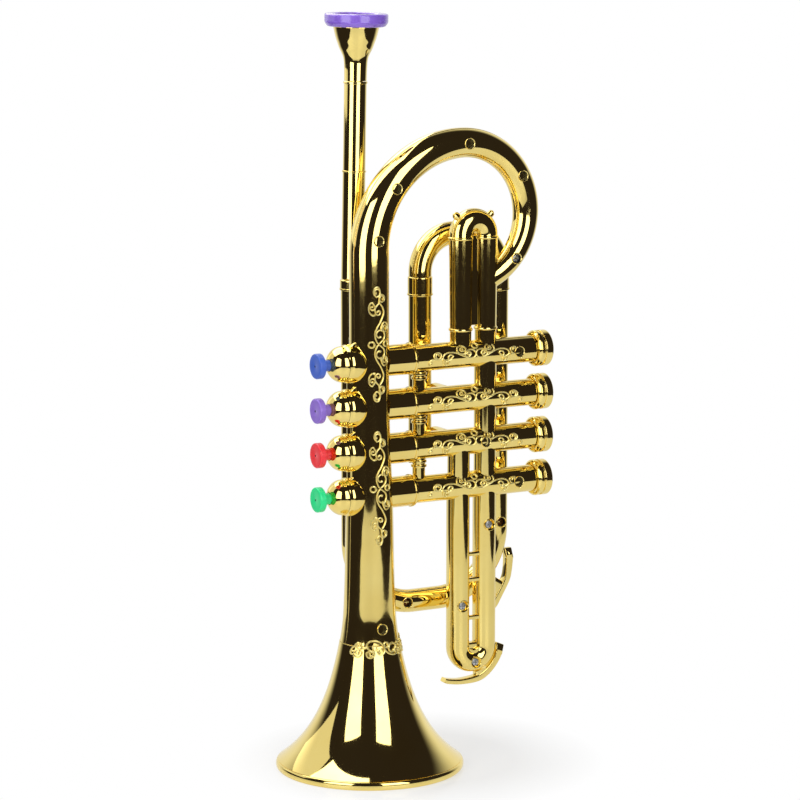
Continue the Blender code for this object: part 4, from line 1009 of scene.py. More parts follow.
@dataclass
class ValveBlock:
    """Four casings with their stubs and rings, the ringed posts and the tubes between them."""

    stub_radius: float = 8.2
    stub_end: float = 23.8
    ring_radius: float = 8.7
    ring_width: float = 1.2
    radius: float = 7.2
    post_x: float = 29.7
    post_radius: float = 3.4
    post_ring: float = 4.2
    post_ring_width: float = 1.3
    post_rings: Flat = (12.4, 14.8)
    tube_radius: float = 6.0
    right_x: float = 70.2
    left_x: float = 54.0
    # Each screw's valve, counted from the top, and its X.
    screws: tuple[tuple[int, float], ...] = ((0, 87.5), (2, 67.0), (3, 87.5))
    bridge_x: float = 47.0
    bridge_radius: float = 7.0
    bridge_start: float = 2.0
    bridge_end: float = FAR_Y - 5.6
    lug_x: float = 88.6
    lug_radius: float = 2.5
    lug_start: float = 3.0

    def casing(self) -> Array:
        """Draw a casing from inside the bell tube to its open end.

        Returns:
            Its rows.
        """
        corners = [(8, self.stub_radius), (self.stub_end, self.stub_radius),
                   (self.stub_end, self.ring_radius), (self.stub_end + self.ring_width, self.ring_radius),
                   (self.stub_end + self.ring_width, self.radius), (CASING_END, self.radius)]
        rows = rounded(corners, 0.35, 6, closed=False)
        plain = np.linspace(self.stub_end + self.ring_width + 2, CASING_END - 0.6, 60)
        body = np.stack([plain, np.full(plain.size, self.radius)], 1)
        end = np.array([[CASING_END - 0.3, self.radius], [CASING_END - 0.1, self.radius - 0.07],
                        [CASING_END, self.radius - 0.2]])
        return np.concatenate([rows[:-1], body, end])

    def post(self, height: float) -> Surface:
        """Make a turned post with two rings near its top, up to the next casing.

        Args:
            height: Height of the casing that it stands on.

        Returns:
            The post.
        """
        corners = [(0, 2), (self.post_radius, 2)]
        for level in self.post_rings:
            corners += [(self.post_radius, level), (self.post_ring, level),
                        (self.post_ring, level + self.post_ring_width),
                        (self.post_radius, level + self.post_ring_width)]
        corners += [(self.post_radius, PITCH - 2), (0, PITCH - 2)]
        return lathe(rounded(corners, 0.4, 5), "Z", (self.post_x, 0, height), 48)

    def build(self) -> None:
        """Make both halves of the block; the posts belong to the near one."""
        tubes = [(Track((0, height), 0.0, ((CASING_END, 0.0),)), self.casing(),
                  tuple(Recess(place) for valve, place in self.screws if valve == row))
                 for row, height in enumerate(VALVES)]
        for x, top in ((self.right_x, VALVES[0]), (self.left_x, VALVES[2])):
            length = top - VALVES[3]
            tubes.append((Track((x, VALVES[3]), 90.0, ((length, 0.0),)), even(length, self.tube_radius), ()))
        pairs = [halves(*tube) for tube in tubes]
        near = [piece for front, _ in pairs for piece in front] + [self.post(height) for height in VALVES[1:]]
        far = [piece for _, back in pairs for piece in back]
        far += [rod(self.bridge_radius, self.bridge_start, self.bridge_end, "Y",
                    (self.bridge_x, 0, height), 0.8, 64) for height in VALVES[1:3]]
        far += [rod(self.lug_radius, self.lug_start, FAR_Y, "Y", (self.lug_x, 0, height))
                for height in (VALVES[0], VALVES[-1])]
        put_halves("valve_block", "valve_block", near, far)


@dataclass
class Slides:
    """The upper slide above the first valve and the lower slide under the last one."""

    upper_x: Flat = (55.0, 70.2)
    upper_radius: float = 6.3
    upper_top: float = 296.4
    rings: Flat = (280.9, 232.1)
    ring_width: float = 1.6
    ring_height: float = 0.6
    nub_radius: float = 2.0
    nub_length: float = 3.0
    # How much thinner the legs are at their feet than at the upper rings.
    draft: float = 0.6
    web_low: float = 234.0
    lower_x: Flat = (54.0, 70.2)
    lower_radius: float = 6.0
    lower_bottom: float = 44.6
    recess: float = 2.9
    deep: float = 1.33
    left_screw: float = 82.4
    right_screw: float = 125.6
    webs: tuple[float, ...] = (110.0, 96.0, 75.0)
    web_half: float = 1.1
    # The plate in the bow: half its width, and how far its foot lies under the bow's middle.
    plate_half: float = 5.0
    plate_drop: float = 6.0

    def upper(self) -> None:
        """Make the upper slide's halves with their rings and nubs."""
        left, right = self.upper_x
        bend = (right - left) / 2
        bow = self.upper_top - self.upper_radius - bend
        leg = bow - VALVES[0]
        track = Track((left, VALVES[0]), 90.0, ((leg, 0.0), (math.pi * bend, -180.0), (leg, 0.0)))
        bands = [(along, self.ring_width, self.ring_height) for height in self.rings
                 for along in (height - VALVES[0], track.length - (height - VALVES[0]))]
        profile = banded(even(track.length, self.upper_radius, 0.8), sorted(bands))
        ring_place = self.rings[0] - VALVES[0]
        from_end = np.minimum(profile[:, 0], track.length - profile[:, 0])
        profile[:, 1] -= self.draft * np.clip(1 - from_end / ring_place, 0, 1)
        near, far = halves(track, profile)
        middle, top = (left + right) / 2, self.rings[0] + 1
        far += [plate((left, right), (self.web_low, top), (-SEAM + 0.4, 0.0))]
        for turn in (math.radians(135), math.radians(45)):
            way = np.array([math.cos(turn), 0, math.sin(turn)])
            start = np.array([middle, 0, bow]) + way * (bend + self.upper_radius - 1.5)
            steps = np.linspace(0, 1, 9)[:, None] * (self.nub_length + 1.0)
            size = np.interp(steps[:, 0], [0, self.nub_length, self.nub_length + 1],
                             [self.nub_radius, self.nub_radius, self.nub_radius * 0.55])
            far += [wire(start + way * steps, size, 16)]
        put_halves("upper_slide", "upper_slide", near, far)

    def lower(self) -> None:
        """Make the lower slide's halves with their webs and the stepped plate in the bow."""
        left, right = self.lower_x
        bend = (right - left) / 2
        bow = self.lower_bottom + self.lower_radius + bend
        leg = VALVES[3] - bow
        track = Track((left, VALVES[3]), -90.0, ((leg, 0.0), (math.pi * bend, 180.0), (leg, 0.0)))
        recesses = tuple(Recess(along, rim=3.4, hole=self.recess, proud=0.0, chamfer=0.25) for along in
                         (VALVES[3] - self.left_screw, leg + math.pi * bend / 2,
                          leg + math.pi * bend + self.right_screw - bow))
        near, far = halves(track, even(track.length, self.lower_radius, 0.9), recesses, deep=self.deep)
        near += [plate((left, right), (height - self.web_half, height + self.web_half),
                       (-SEAM - self.web_half, -SEAM + self.web_half)) for height in self.webs]
        middle, foot = (left + right) / 2, bow - self.plate_drop
        start, end = middle - self.plate_half, middle + self.plate_half
        step = [(start, foot), (end, foot), (end, bow + 0.6), (middle + 0.9, bow - 1.4),
                (middle - 0.9, bow - 1.4), (start, bow + 0.6)]
        near += [slab(rounded(step, 0.3), -SEAM - 1.6, -SEAM - 0.2, 0.25)]
        far += [plate((start, end), (foot, bow + 2.2), (-SEAM + 0.2, SEAM), 0.25)]
        put_halves("lower_slide", "lower_slide", near, far)


@dataclass
class FarPlane:
    """The leadpipe, the tuning bow, the rear tubes and the rear bow, behind the valves."""

    radius: float = 6.2
    leadpipe_x: float = 0.6
    left_x: float = 41.3
    right_x: float = 88.6
    left_end: float = 169.0
    bow_top: float = 287.5
    bow_bend: float = 20.0
    joint: float = 147.8
    bottom: float = 76.4
    bend: float = 36.0
    left_screw: float = 80.4
    right_screw: float = 121.7
    sleeve_low: float = 249.0
    sleeve_high: float = 259.0
    sleeve_step: float = 0.45
    bead: float = 0.3
    bead_width: float = 0.9
    leadpipe_top: float = 260.0
    leadpipe_sleeve: float = 5.5
    wall: float = 1.5

    def pipe(self, x: float, low: float, high: float, sleeve: float) -> Surface:
        """Make a straight pipe with a beaded sleeve at its top, hollow at both ends.

        Args:
            x: Where it stands.
            low: Height of its foot.
            high: Height of its top.
            sleeve: Length of the sleeve.

        Returns:
            The pipe.
        """
        wide, inner, foot = self.radius + self.sleeve_step, self.radius - self.wall, high - sleeve
        bead = wide + self.bead
        corners = [(inner, low), (self.radius, low), (self.radius, foot), (bead, foot),
                   (bead, foot + self.bead_width), (wide, foot + self.bead_width), (wide, high),
                   (inner, high)]
        return lathe(rounded(corners, 0.45, 6), "Z", (x, FAR_Y, 0), 80)

    def build(self) -> None:
        """Make the pipes and the two bows."""
        top, sleeve = self.sleeve_high, self.sleeve_high - self.sleeve_low
        leadpipe = self.pipe(self.leadpipe_x, self.joint, self.leadpipe_top, self.leadpipe_sleeve)
        put_together("lower_leadpipe", [leadpipe], ["leadpipe_lower"])
        for side, x, foot in (("right", self.right_x, self.joint), ("left", self.left_x, self.left_end)):
            put_together(f"rear_{side}_tube", [self.pipe(x, foot, top, sleeve)], [f"far_{side}_tube"])
        rise = self.bow_top - self.radius - self.bow_bend - self.sleeve_high - CLEAR
        quarter = math.pi / 2
        flat = self.right_x - self.left_x - 2 * self.bow_bend
        rear = Track((self.left_x, self.sleeve_high + CLEAR), 90.0,
                     ((rise, 0.0), (self.bow_bend * quarter, -90.0), (flat, 0.0),
                      (self.bow_bend * quarter, -90.0), (rise, 0.0)), FAR_Y)
        put_halves("rear_bow", "far_bow", *halves(rear, even(rear.length, self.radius, 0.8)))
        drop = self.joint - CLEAR - self.bottom - self.radius - self.bend
        flat = self.right_x - self.leadpipe_x - 2 * self.bend
        low = Track((self.leadpipe_x, self.joint - CLEAR), -90.0,
                    ((drop, 0.0), (self.bend * quarter, 90.0), (flat, 0.0), (self.bend * quarter, 90.0),
                     (drop, 0.0)), FAR_Y)
        end = drop + flat + 2 * self.bend * quarter
        recesses = (Recess(drop + self.bend * math.radians(self.left_screw)),
                    Recess(end + self.right_screw - (self.joint - CLEAR - drop)))
        put_halves("tuning_bow", "tuning_bow", *halves(low, even(low.length, self.radius, 1.2), recesses))


@dataclass
class Mouthpiece:
    """The upper leadpipe, the cup with its shank and the purple rim, on one leaning axis."""

    x: float = 0.6
    foot: float = 260.0
    lean: float = 1.1
    height: float = 400.0
    rim_radius: float = 16.75
    rim_height: float = 6.8
    opening: float = 11.5
    edge: float = 1.2
    cup_radius: float = 12.1
    cup_depth: float = 16.0
    shank_radius: float = 5.95
    shank: float = 27.9
    bore: float = 2.4
    pipe_radius: float = 5.95
    lower_radius: float = 6.0
    bead: float = 0.4
    bead_width: float = 0.8
    joint: float = 56.8
    # Height of the ring at the pipe's top, the pipe's bore, and the cup's lip and spigot.
    collar: float = 1.2
    pipe_bore: float = 4.2
    lip: float = 3.4
    lip_wall: float = 0.8
    spigot: float = 4.0
    spigot_radius: float = 3.9
    # The cup's outer line: shares of the shank's height, and of the way from its radius to the cup's.
    shape: tuple[Flat, ...] = ((0, 0), (0.05, 0.0), (0.18, 0.01), (0.27, 0.025), (0.355, 0.05), (0.44, 0.12),
                               (0.525, 0.28), (0.61, 0.47), (0.70, 0.62), (0.785, 0.76), (0.892, 0.89),
                               (1, 1))

    def build(self) -> None:
        """Make the three pieces upright and lean them towards the valve caps."""
        lean = math.radians(self.lean)
        matrix = np.array([[math.cos(lean), 0, math.sin(lean)], [0, 1, 0],
                           [-math.sin(lean), 0, math.cos(lean)]])
        overhang = (self.rim_radius - self.edge) * math.sin(lean)
        length = (self.height - self.foot - overhang) / math.cos(lean)
        rim_low = length - self.rim_height
        cup_top = rim_low - CLEAR
        cup_low = cup_top - self.shank
        pipe_top = cup_low - CLEAR
        origin = (self.x, FAR_Y, self.foot)

        def leaned(surface: Surface) -> Surface:
            """Carry a surface from its own axis to the leaning one."""
            return surface.turned(matrix).moved(origin)

        wide, low = self.pipe_radius + self.bead, self.lower_radius
        joint = self.joint + self.bead_width
        collar = pipe_top - self.collar
        corners = [(self.pipe_bore, CLEAR), (low, CLEAR), (low, self.joint), (low + self.bead, self.joint),
                   (low + self.bead, joint), (self.pipe_radius, joint), (self.pipe_radius, collar),
                   (wide, collar), (wide, pipe_top), (self.pipe_bore, pipe_top)]
        put_together("upper_leadpipe", [leaned(lathe(rounded(corners, 0.3, 6), sides=80))],
                     ["leadpipe_upper"])
        share = smooth_line(self.shape, 6)
        outer = np.stack([self.shank_radius + (self.cup_radius - self.shank_radius) * share[:, 1],
                          cup_low + self.shank * share[:, 0]], 1)
        lip, lip_top = self.opening - CLEAR, cup_top + self.lip
        mouth, spigot = lip - self.lip_wall, cup_low - self.spigot
        bowl_share = np.linspace(1, 0, 24)
        bowl = np.stack([self.bore + (mouth - self.bore) * bowl_share,
                         cup_top - self.cup_depth * (1 - bowl_share ** 1.5)], 1)
        cup = np.concatenate([outer, [(lip, cup_top), (lip, lip_top), (mouth, lip_top)], bowl,
                              [(self.bore, spigot), (self.spigot_radius, spigot),
                               (self.spigot_radius, cup_low)]])
        put_together("mouthpiece_cup_gold", [leaned(lathe(cup, sides=112))], ["mouthpiece_cup"])
        corners = [(self.opening, rim_low), (self.rim_radius - 1.6, rim_low),
                   (self.rim_radius, rim_low + 2.2), (self.rim_radius, length), (self.opening, length)]
        rim = lathe(rounded(corners, self.edge, 8), sides=128)
        put_together("mouthpiece_rim_purple", [leaned(rim)], ["mouthpiece_rim"], finish=Finishes.RIM)


# Keys, caps and screws


@dataclass
class Keys:
    """The key balls' domes, the four coloured keys and their springs."""

    shoulder: Flat = (5.5, 0.55)
    # Radius of the dark disc of painted shade in the dimple of a key's face.
    gate: float = 0.7
    hole: float = 3.3
    # Depth of the land that stops the flange, and radii of its opening and of the ball's hollow.
    land: float = 2.8
    guide: float = 4.9
    hollow: float = 6.9
    face: float = -32.0
    head: float = 6.65
    thickness: float = 3.6
    edge: float = 0.8
    cone: float = 4.7
    cone_length: float = 1.2
    stem: float = 3.0
    flange: float = 4.6
    flange_width: float = 1.2
    pin: float = 1.4
    pin_length: float = 3.0
    dimple: float = 0.35
    spring_wire: float = 0.25
    spring_turns: float = 4.0
    colours: tuple[Finishes, ...] = (Finishes.BLUE, Finishes.PURPLE, Finishes.RED, Finishes.GREEN)

    @property
    def mouth(self) -> float:
        """Where the stem's hole comes out of a ball, along X from its middle."""
        return -math.sqrt(BALL_RADIUS ** 2 - self.hole ** 2)

    def dome(self) -> Array:
        """Draw a dome: the ball's outer part, the stem's hole, and its hollow back.

        Towards the seam its radius falls as the inner half's does.

        Returns:
            Its closed outline.
        """
        start = BALL_X - BALL_SEAM + CLEAR / 2
        turn = np.linspace(math.acos(start / BALL_RADIUS), math.asin(self.hole / BALL_RADIUS), 44)
        height = BALL_RADIUS * np.cos(turn)
        width, depth = self.shoulder
        drop = depth * np.clip(1 - (height - start) / width, 0, 1) ** 2
        outer = np.stack([BALL_RADIUS * np.sin(turn) - drop, -height], 1)
        land = self.mouth + self.land
        back = [(self.hole, self.mouth + 0.25), (self.hole, land), (self.guide, land),
                (self.hollow, land + 2), (self.hollow, -start)]
        return np.concatenate([outer, back])

    def key(self) -> Array:
        """Draw a key: head, conical neck, stem, stop flange and spring pin.

        Returns:
            Its closed outline.
        """
        face, flange = self.face - BALL_X, self.mouth + self.land + CLEAR
        back = face + self.thickness
        neck = back + self.cone_length
        head = rounded([(0, face), (self.head, face), (self.head, back), (self.cone, back),
                        (self.stem + self.edge, neck), (self.stem, neck), (self.stem, flange)],
                       self.edge, 6, closed=False)
        floor, behind = face + self.dimple, flange + self.flange_width
        dimple = np.array([(0, floor), (0.54, floor), (0.62, face + 0.05), (0.74, face)])
        tail = [(self.flange, flange), (self.flange, behind), (self.pin, behind),
                (self.pin, behind + self.pin_length), (0, behind + self.pin_length)]
        return np.concatenate([dimple, head[1:], tail])

    def gate_scar(self, height: float) -> Surface:
        """Painted shade: a dark disc at the bottom of the dimple in the middle of a key's face."""
        return rod(self.gate, self.face + 0.12, self.face + 0.52, "X", (0, 0, height), 0.08, 20)

    def spring(self, number: int, height: float) -> None:
        """Make a key's return spring, which rides on no body: on the real toy one end moves with the key
        while the other stays.

        Its wire runs round the key's axis: X rises evenly with the turn, from one end to the other.

        Args:
            number: The key's number, counted from the top.
            height: Height of the key's axis.
        """
        low, high = ((np.array(corner) - ORIGIN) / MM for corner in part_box(f"key_spring_{number}"))
        start, end = low[0] + self.spring_wire, high[0] - self.spring_wire
        radius = (high[1] - low[1]) / 2 - self.spring_wire
        share = np.linspace(0, 1, round(self.spring_turns * 28) + 1)
        turn = share * self.spring_turns * math.tau
        path = np.stack([start + (end - start) * share, radius * np.cos(turn),
                         height + radius * np.sin(turn)], 1)
        coil = put_together(f"return_spring_{number}", [wire(path, self.spring_wire, 10)],
                            [f"key_spring_{number}"], None, Finishes.SPRING)
        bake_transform(coil)

    def build(self) -> None:
        """Make the domes, the keys and their springs."""
        for number, (height, colour) in enumerate(zip(VALVES, self.colours), start=1):
            name, origin = colour.name.lower(), (BALL_X, 0, height)
            body = f"key_{name}"
            self.spring(number, height)
            put_together(f"key_ball_{number}", [lathe(self.dome(), "X", origin)], [f"key_dome_{number}"])
            put_together(f"{name}_key", [lathe(self.key(), "X", origin, 72)], [body], body, colour)
            # A dark disc of painted shade sits in each key's dimple.
            put_together(f"{name}_key_gate", [self.gate_scar(height)], (), body, Finishes.RECESS)


@dataclass
class Caps:
    """The four domed valve caps."""

    radius: float = 9.7
    neck: float = 8.3
    collar: float = 3.0
    groove: float = 1.4
    groove_depth: float = 0.7
    band: float = 4.2
    rise: float = 1.6
    spigot: float = 5.0
    spigot_radius: float = 5.3
    bore: float = 3.9

    def build(self) -> None:
        """Make each cap: collar, groove, end band and a low dome, with a spigot behind."""
        start, groove = CASING_END + CLEAR, self.radius - self.groove_depth
        band = self.collar + self.groove
        end = band + self.band
        corners = [(self.bore, -self.spigot), (self.spigot_radius, -self.spigot), (self.spigot_radius, 0),
                   (self.neck, 0), (self.radius, 1.2),
                   (self.radius, self.collar), (groove, self.collar + 0.35), (groove, band - 0.35),
                   (self.radius, band), (self.radius, end - 0.3), (self.radius - 1.7, end + 0.4),
                   (self.radius * 0.5, end + self.rise * 0.8), (0, end + self.rise), (0, end - self.rise),
                   (self.bore, end - self.rise)]
        profile = rounded(corners, 0.6, 6)
        profile[:, 0] = np.maximum(profile[:, 0], 0)
        for number, height in enumerate(VALVES, start=1):
            put_together(f"cap_{number}", [lathe(profile, "X", (start, 0, height))], [f"valve_cap_{number}"])


@dataclass(frozen=True)
class Seat:
    """A screw's place: on the plane Y of its tube's middle, in a wall of radius crest."""

    x: float
    z: float
    crest: float
    plane: float = 0.0
    hole: float = HOLE
    proud: float = 0.3


@dataclass
class Screws:
    """The fourteen pan-head screws with cross recesses, seated in the near halves."""

    head: float = 2.2
    height: float = 1.4
    shank: float = 1.15
    slot_width: float = 0.55
    slot_length: float = 1.5
    slot_depth: float = 0.55

    def surface(self, x: float, z: float, plane: float) -> Surface:
        """One screw.

        The head is a grid of rings whose height is a low dome less a cross: a place is in the
        cross where it is within half a slot's width of either arm and within an arm's length.

        Args:
            x: Its place along X.
            z: Its height.
            plane: Y of the middle plane of its tube.

        Returns:
            The screw's surface.
        """
        sides, rings = 64, 26
        turn = np.linspace(0, math.tau, sides, endpoint=False)[None, :]
        reach = np.linspace(1, 0, rings)[:, None] * (self.head - 0.35)
        across, up = reach * np.cos(turn), reach * np.sin(turn)
        dome = -0.25 * (1 - (reach / self.head) ** 2) + 0 * turn
        arm = np.minimum(np.abs(across), np.abs(up)) - self.slot_width / 2
        end = np.maximum(np.abs(across), np.abs(up)) - self.slot_length
        depth = np.clip(-np.maximum(arm, end) / 0.12, 0, 1) * self.slot_depth
        foot = -SEAT - CLEAR
        top = foot - self.height
        face = np.stack([across, top + 0.25 + dome + depth, up], -1)
        levels = [(self.shank * 0.2, 5.6 - SEAT), (self.shank, 4.6 - SEAT), (self.shank, foot),
                  (self.head, foot),
                  (self.head, top + 0.7), (self.head - 0.1, top + 0.4)]
        circle = np.array([np.cos(turn[0]), np.zeros(sides), np.sin(turn[0])]).T
        body = np.stack([circle * radius + (0, level, 0) for radius, level in levels])
        grid = np.concatenate([body, face])
        points = np.concatenate([grid.reshape(-1, 3), [[0, 5.8 - SEAT, 0]]])
        ring = np.arange(sides)
        fan = np.stack([ring, (ring + 1) % sides, np.full(sides, len(points) - 1)], 1)
        return Surface(points, grid_quads(len(grid), sides), fan).moved((x, plane, z))

    def lining(self, seat: Seat) -> Surface:
        """Make a dark sleeve of painted shade on the wall and floor of a recess.

        Args:
            seat: The recess's place.

        Returns:
            The lining.
        """
        hole, top = seat.hole, -(seat.crest + seat.proud - 0.36)
        corners = [(0, -SEAT - 0.08), (hole - 0.14, -SEAT - 0.08), (hole - 0.14, top), (hole - 0.01, top),
                   (hole - 0.01, -SEAT - 0.02), (0, -SEAT - 0.02)]
        return lathe(np.array(corners), "Y", (seat.x, seat.plane, seat.z), 48)

    def build(self, seats: list[Seat]) -> None:
        """Make a screw in each seat, and put painted shade in the recesses that have a raised rim.

        Args:
            seats: Where the screws sit, in the order of the CAD's screws.
        """
        for number, seat in enumerate(seats, start=1):
            # The tuning bow's two screws, on the far tubes, get painted shade.
            finish = Finishes.BRONZED if seat.plane else Finishes.ZINC
            put_together(f"pan_screw_{number:02d}", [self.surface(seat.x, seat.z, seat.plane)],
                         [f"screw_{number:02d}"], finish=finish)
        # Painted shade in the recesses that have a raised rim.
        put_together("recess_linings", [self.lining(seat) for seat in seats if seat.proud],
                     finish=Finishes.RECESS)


def screw_seats(tube: BellTube, block: ValveBlock, slides: Slides, far: FarPlane) -> list[Seat]:
    """Find where every screw sits.

    Args:
        tube: The bell tube.
        block: The valve block.
        slides: The slides.
        far: The rear tubes and bows.

    Returns:
        The seats, in the order of the CAD's screws.
    """
    along = np.array(tube.screws())
    spots, _, _, _ = tube.track.at(along)
    seats = [Seat(float(x), float(z), float(crest)) for (x, z), crest in zip(spots, tube.tube_radius(along))]
    seats += [Seat(x, VALVES[row], block.radius) for row, x in block.screws]
    left, right = slides.lower_x
    bow = slides.lower_bottom + slides.lower_radius
    for x, z in ((right, slides.right_screw), (left, slides.left_screw), ((left + right) / 2, bow)):
        seats.append(Seat(x, z, slides.lower_radius, hole=slides.recess, proud=0.0))
    turn = math.radians(far.left_screw)
    seats.append(Seat(far.right_x, far.right_screw, far.radius, FAR_Y))
    seats.append(Seat(far.leadpipe_x + far.bend * (1 - math.cos(turn)),
                      far.bottom + far.radius + far.bend * (1 - math.sin(turn)), far.radius, FAR_Y))
    return seats


@dataclass(frozen=True)
class Lever:
    """One water-key lever: the bar's places as (X, Z, half thickness), and its stalk's the same."""

    name: str
    stands_for: str
    plane: float
    bar: tuple[tuple[float, float, float], ...]
    stalk: tuple[tuple[float, float, float], ...]


@dataclass
class WaterKeys:
    """The two fixed levers moulded as water keys: flat crescents with a stalk and a tab."""

    depth: float = 4.8
    # How square a bar's section is: 1 is round and 0 is sharp.
    power: float = 0.28
    tab_slope: float = 0.65
    levers: tuple[Lever, ...] = (
        Lever("lower_lever", "lower_water_key", 0.0,
              ((78.9, 54.6, 2.1), (78.2, 52.9, 2.1), (76.7, 49.7, 1.9), (73.2, 45.4, 1.9), (68.4, 41.8, 1.9),
               (63.3, 40.3, 1.8), (54.4, 39.9, 1.5), (46.8, 41.0, 1.4), (44.9, 41.9, 1.2)),
              ((68.6, 41.0, 4.4), (67.4, 45.2, 3.6))),
        Lever("tuning_lever", "tuning_water_key", FAR_Y,
              ((96.5, 102.0, 2.1), (96.5, 99.6, 2.1), (95.9, 93.0, 1.9), (94.5, 88.0, 1.9), (89.3, 79.0, 1.9),
               (86.8, 75.0, 1.9), (82.8, 71.2, 1.6), (78.4, 68.0, 1.2)),
              ((91.9, 82.8, 4.2), (80.9, 90.5, 3.6))))

    def strip(self, knots: Iterable[tuple[float, float, float]], plane: float, depth: float) -> Surface:
        """Make a flat bar along smooth places, whose section is a rounded rectangle.

        A section's corners come from cos and sin of the turn, each raised to the power.

        Args:
            knots: Places along the bar as (X, Z, half thickness).
            plane: Y of its middle.
            depth: Its size along Y.

        Returns:
            The bar.
        """
        line = smooth_line(knots, 8)
        ahead = unit(np.gradient(line[:, :2], axis=0))
        half = np.stack([-ahead[:, 1], ahead[:, 0]], 1) * line[:, 2:]
        turn = np.linspace(0, math.tau, 24, endpoint=False)
        across, deep = (np.sign(wave) * np.abs(wave) ** self.power for wave in (np.cos(turn), np.sin(turn)))
        flat = line[:, None, :2] + half[:, None] * across[:, None]
        return capped(at_depth(flat, plane + depth / 2 * deep), at_depth(line[[0, -1], :2], plane))

    def tab(self, lever: Lever) -> Surface:
        """Make the thumb tab: a block above the bar's start whose near face leans back as it rises.

        Args:
            lever: The tab's lever.

        Returns:
            The tab.
        """
        (x, z, half), (x_low, z_low, _) = lever.bar[0], lever.bar[1]
        ahead = np.array([x - x_low, z - z_low]) / math.hypot(x - x_low, z - z_low)
        aside, root = np.array([ahead[1], -ahead[0]]) * half, np.array([x, z])
        outline = rounded([root - ahead * 2 - aside, root - ahead * 2 + aside, root + ahead * 3.6 + aside,
                           root + ahead * 3.6 - aside], 0.4)
        block = slab(outline, lever.plane - self.depth / 2, lever.plane + self.depth / 2, 0.35)
        rise = np.maximum(block.points[:, 2] - z, 0) * (block.points[:, 1] < lever.plane)
        return block.moved(np.stack([0 * rise, rise * self.tab_slope, 0 * rise], 1))

    def build(self) -> None:
        """Make both levers on their bows."""
        for lever in self.levers:
            strips = [self.strip(lever.bar, lever.plane, self.depth),
                      self.strip(lever.stalk, lever.plane, self.depth - 0.6)]
            put_together(lever.name, strips + [self.tab(lever)], [lever.stands_for])


# Scrollwork


@dataclass(frozen=True)
class Stroke:
    """One raised wire of a scroll: the points it passes, and the eyes that its ends curl round."""

    knots: tuple[Flat, ...]
    last_eye: Flat | None = None
    first_eye: Flat | None = None
    turns: float = 0.95

    def line(self) -> Array:
        """Draw the wire: smooth through its knots, with a curl at each end that has an eye.

        Returns:
            Its flat points.
        """
        line = smooth_line(self.knots, 6)
        if self.last_eye:
            line = np.concatenate([line, self.curl(line[-1], line[-2], self.last_eye)])
        if self.first_eye:
            line = np.concatenate([self.curl(line[0], line[1], self.first_eye)[::-1], line])
        return line

    def curl(self, end: Array, before: Array, eye: Flat) -> Array:
        """Draw a curl from a line's end round an eye.

        Its distance from the eye falls evenly with its turn to three tenths, and it turns the
        way that the line was going.

        Args:
            end: The line's end.
            before: The point before it.
            eye: Middle of the curl.

        Returns:
            The curl's points after the end.
        """
        arm, way = end - np.array(eye), end - before
        sense = math.copysign(1.0, arm[0] * way[1] - arm[1] * way[0])
        share = np.linspace(0, 1, 24)[1:, None]
        angle = math.atan2(arm[1], arm[0]) + sense * math.tau * self.turns * share
        reach = math.hypot(*arm) * (1 - 0.7 * share)
        return np.array(eye) + reach * np.concatenate([np.cos(angle), np.sin(angle)], 1)


def ring(centre: Flat, radius: float) -> Array:
    """A flat circle whose ends meet."""
    turn = np.linspace(0, math.tau, 33)[:, None]
    return np.array(centre) + radius * np.concatenate([np.cos(turn), np.sin(turn)], 1)


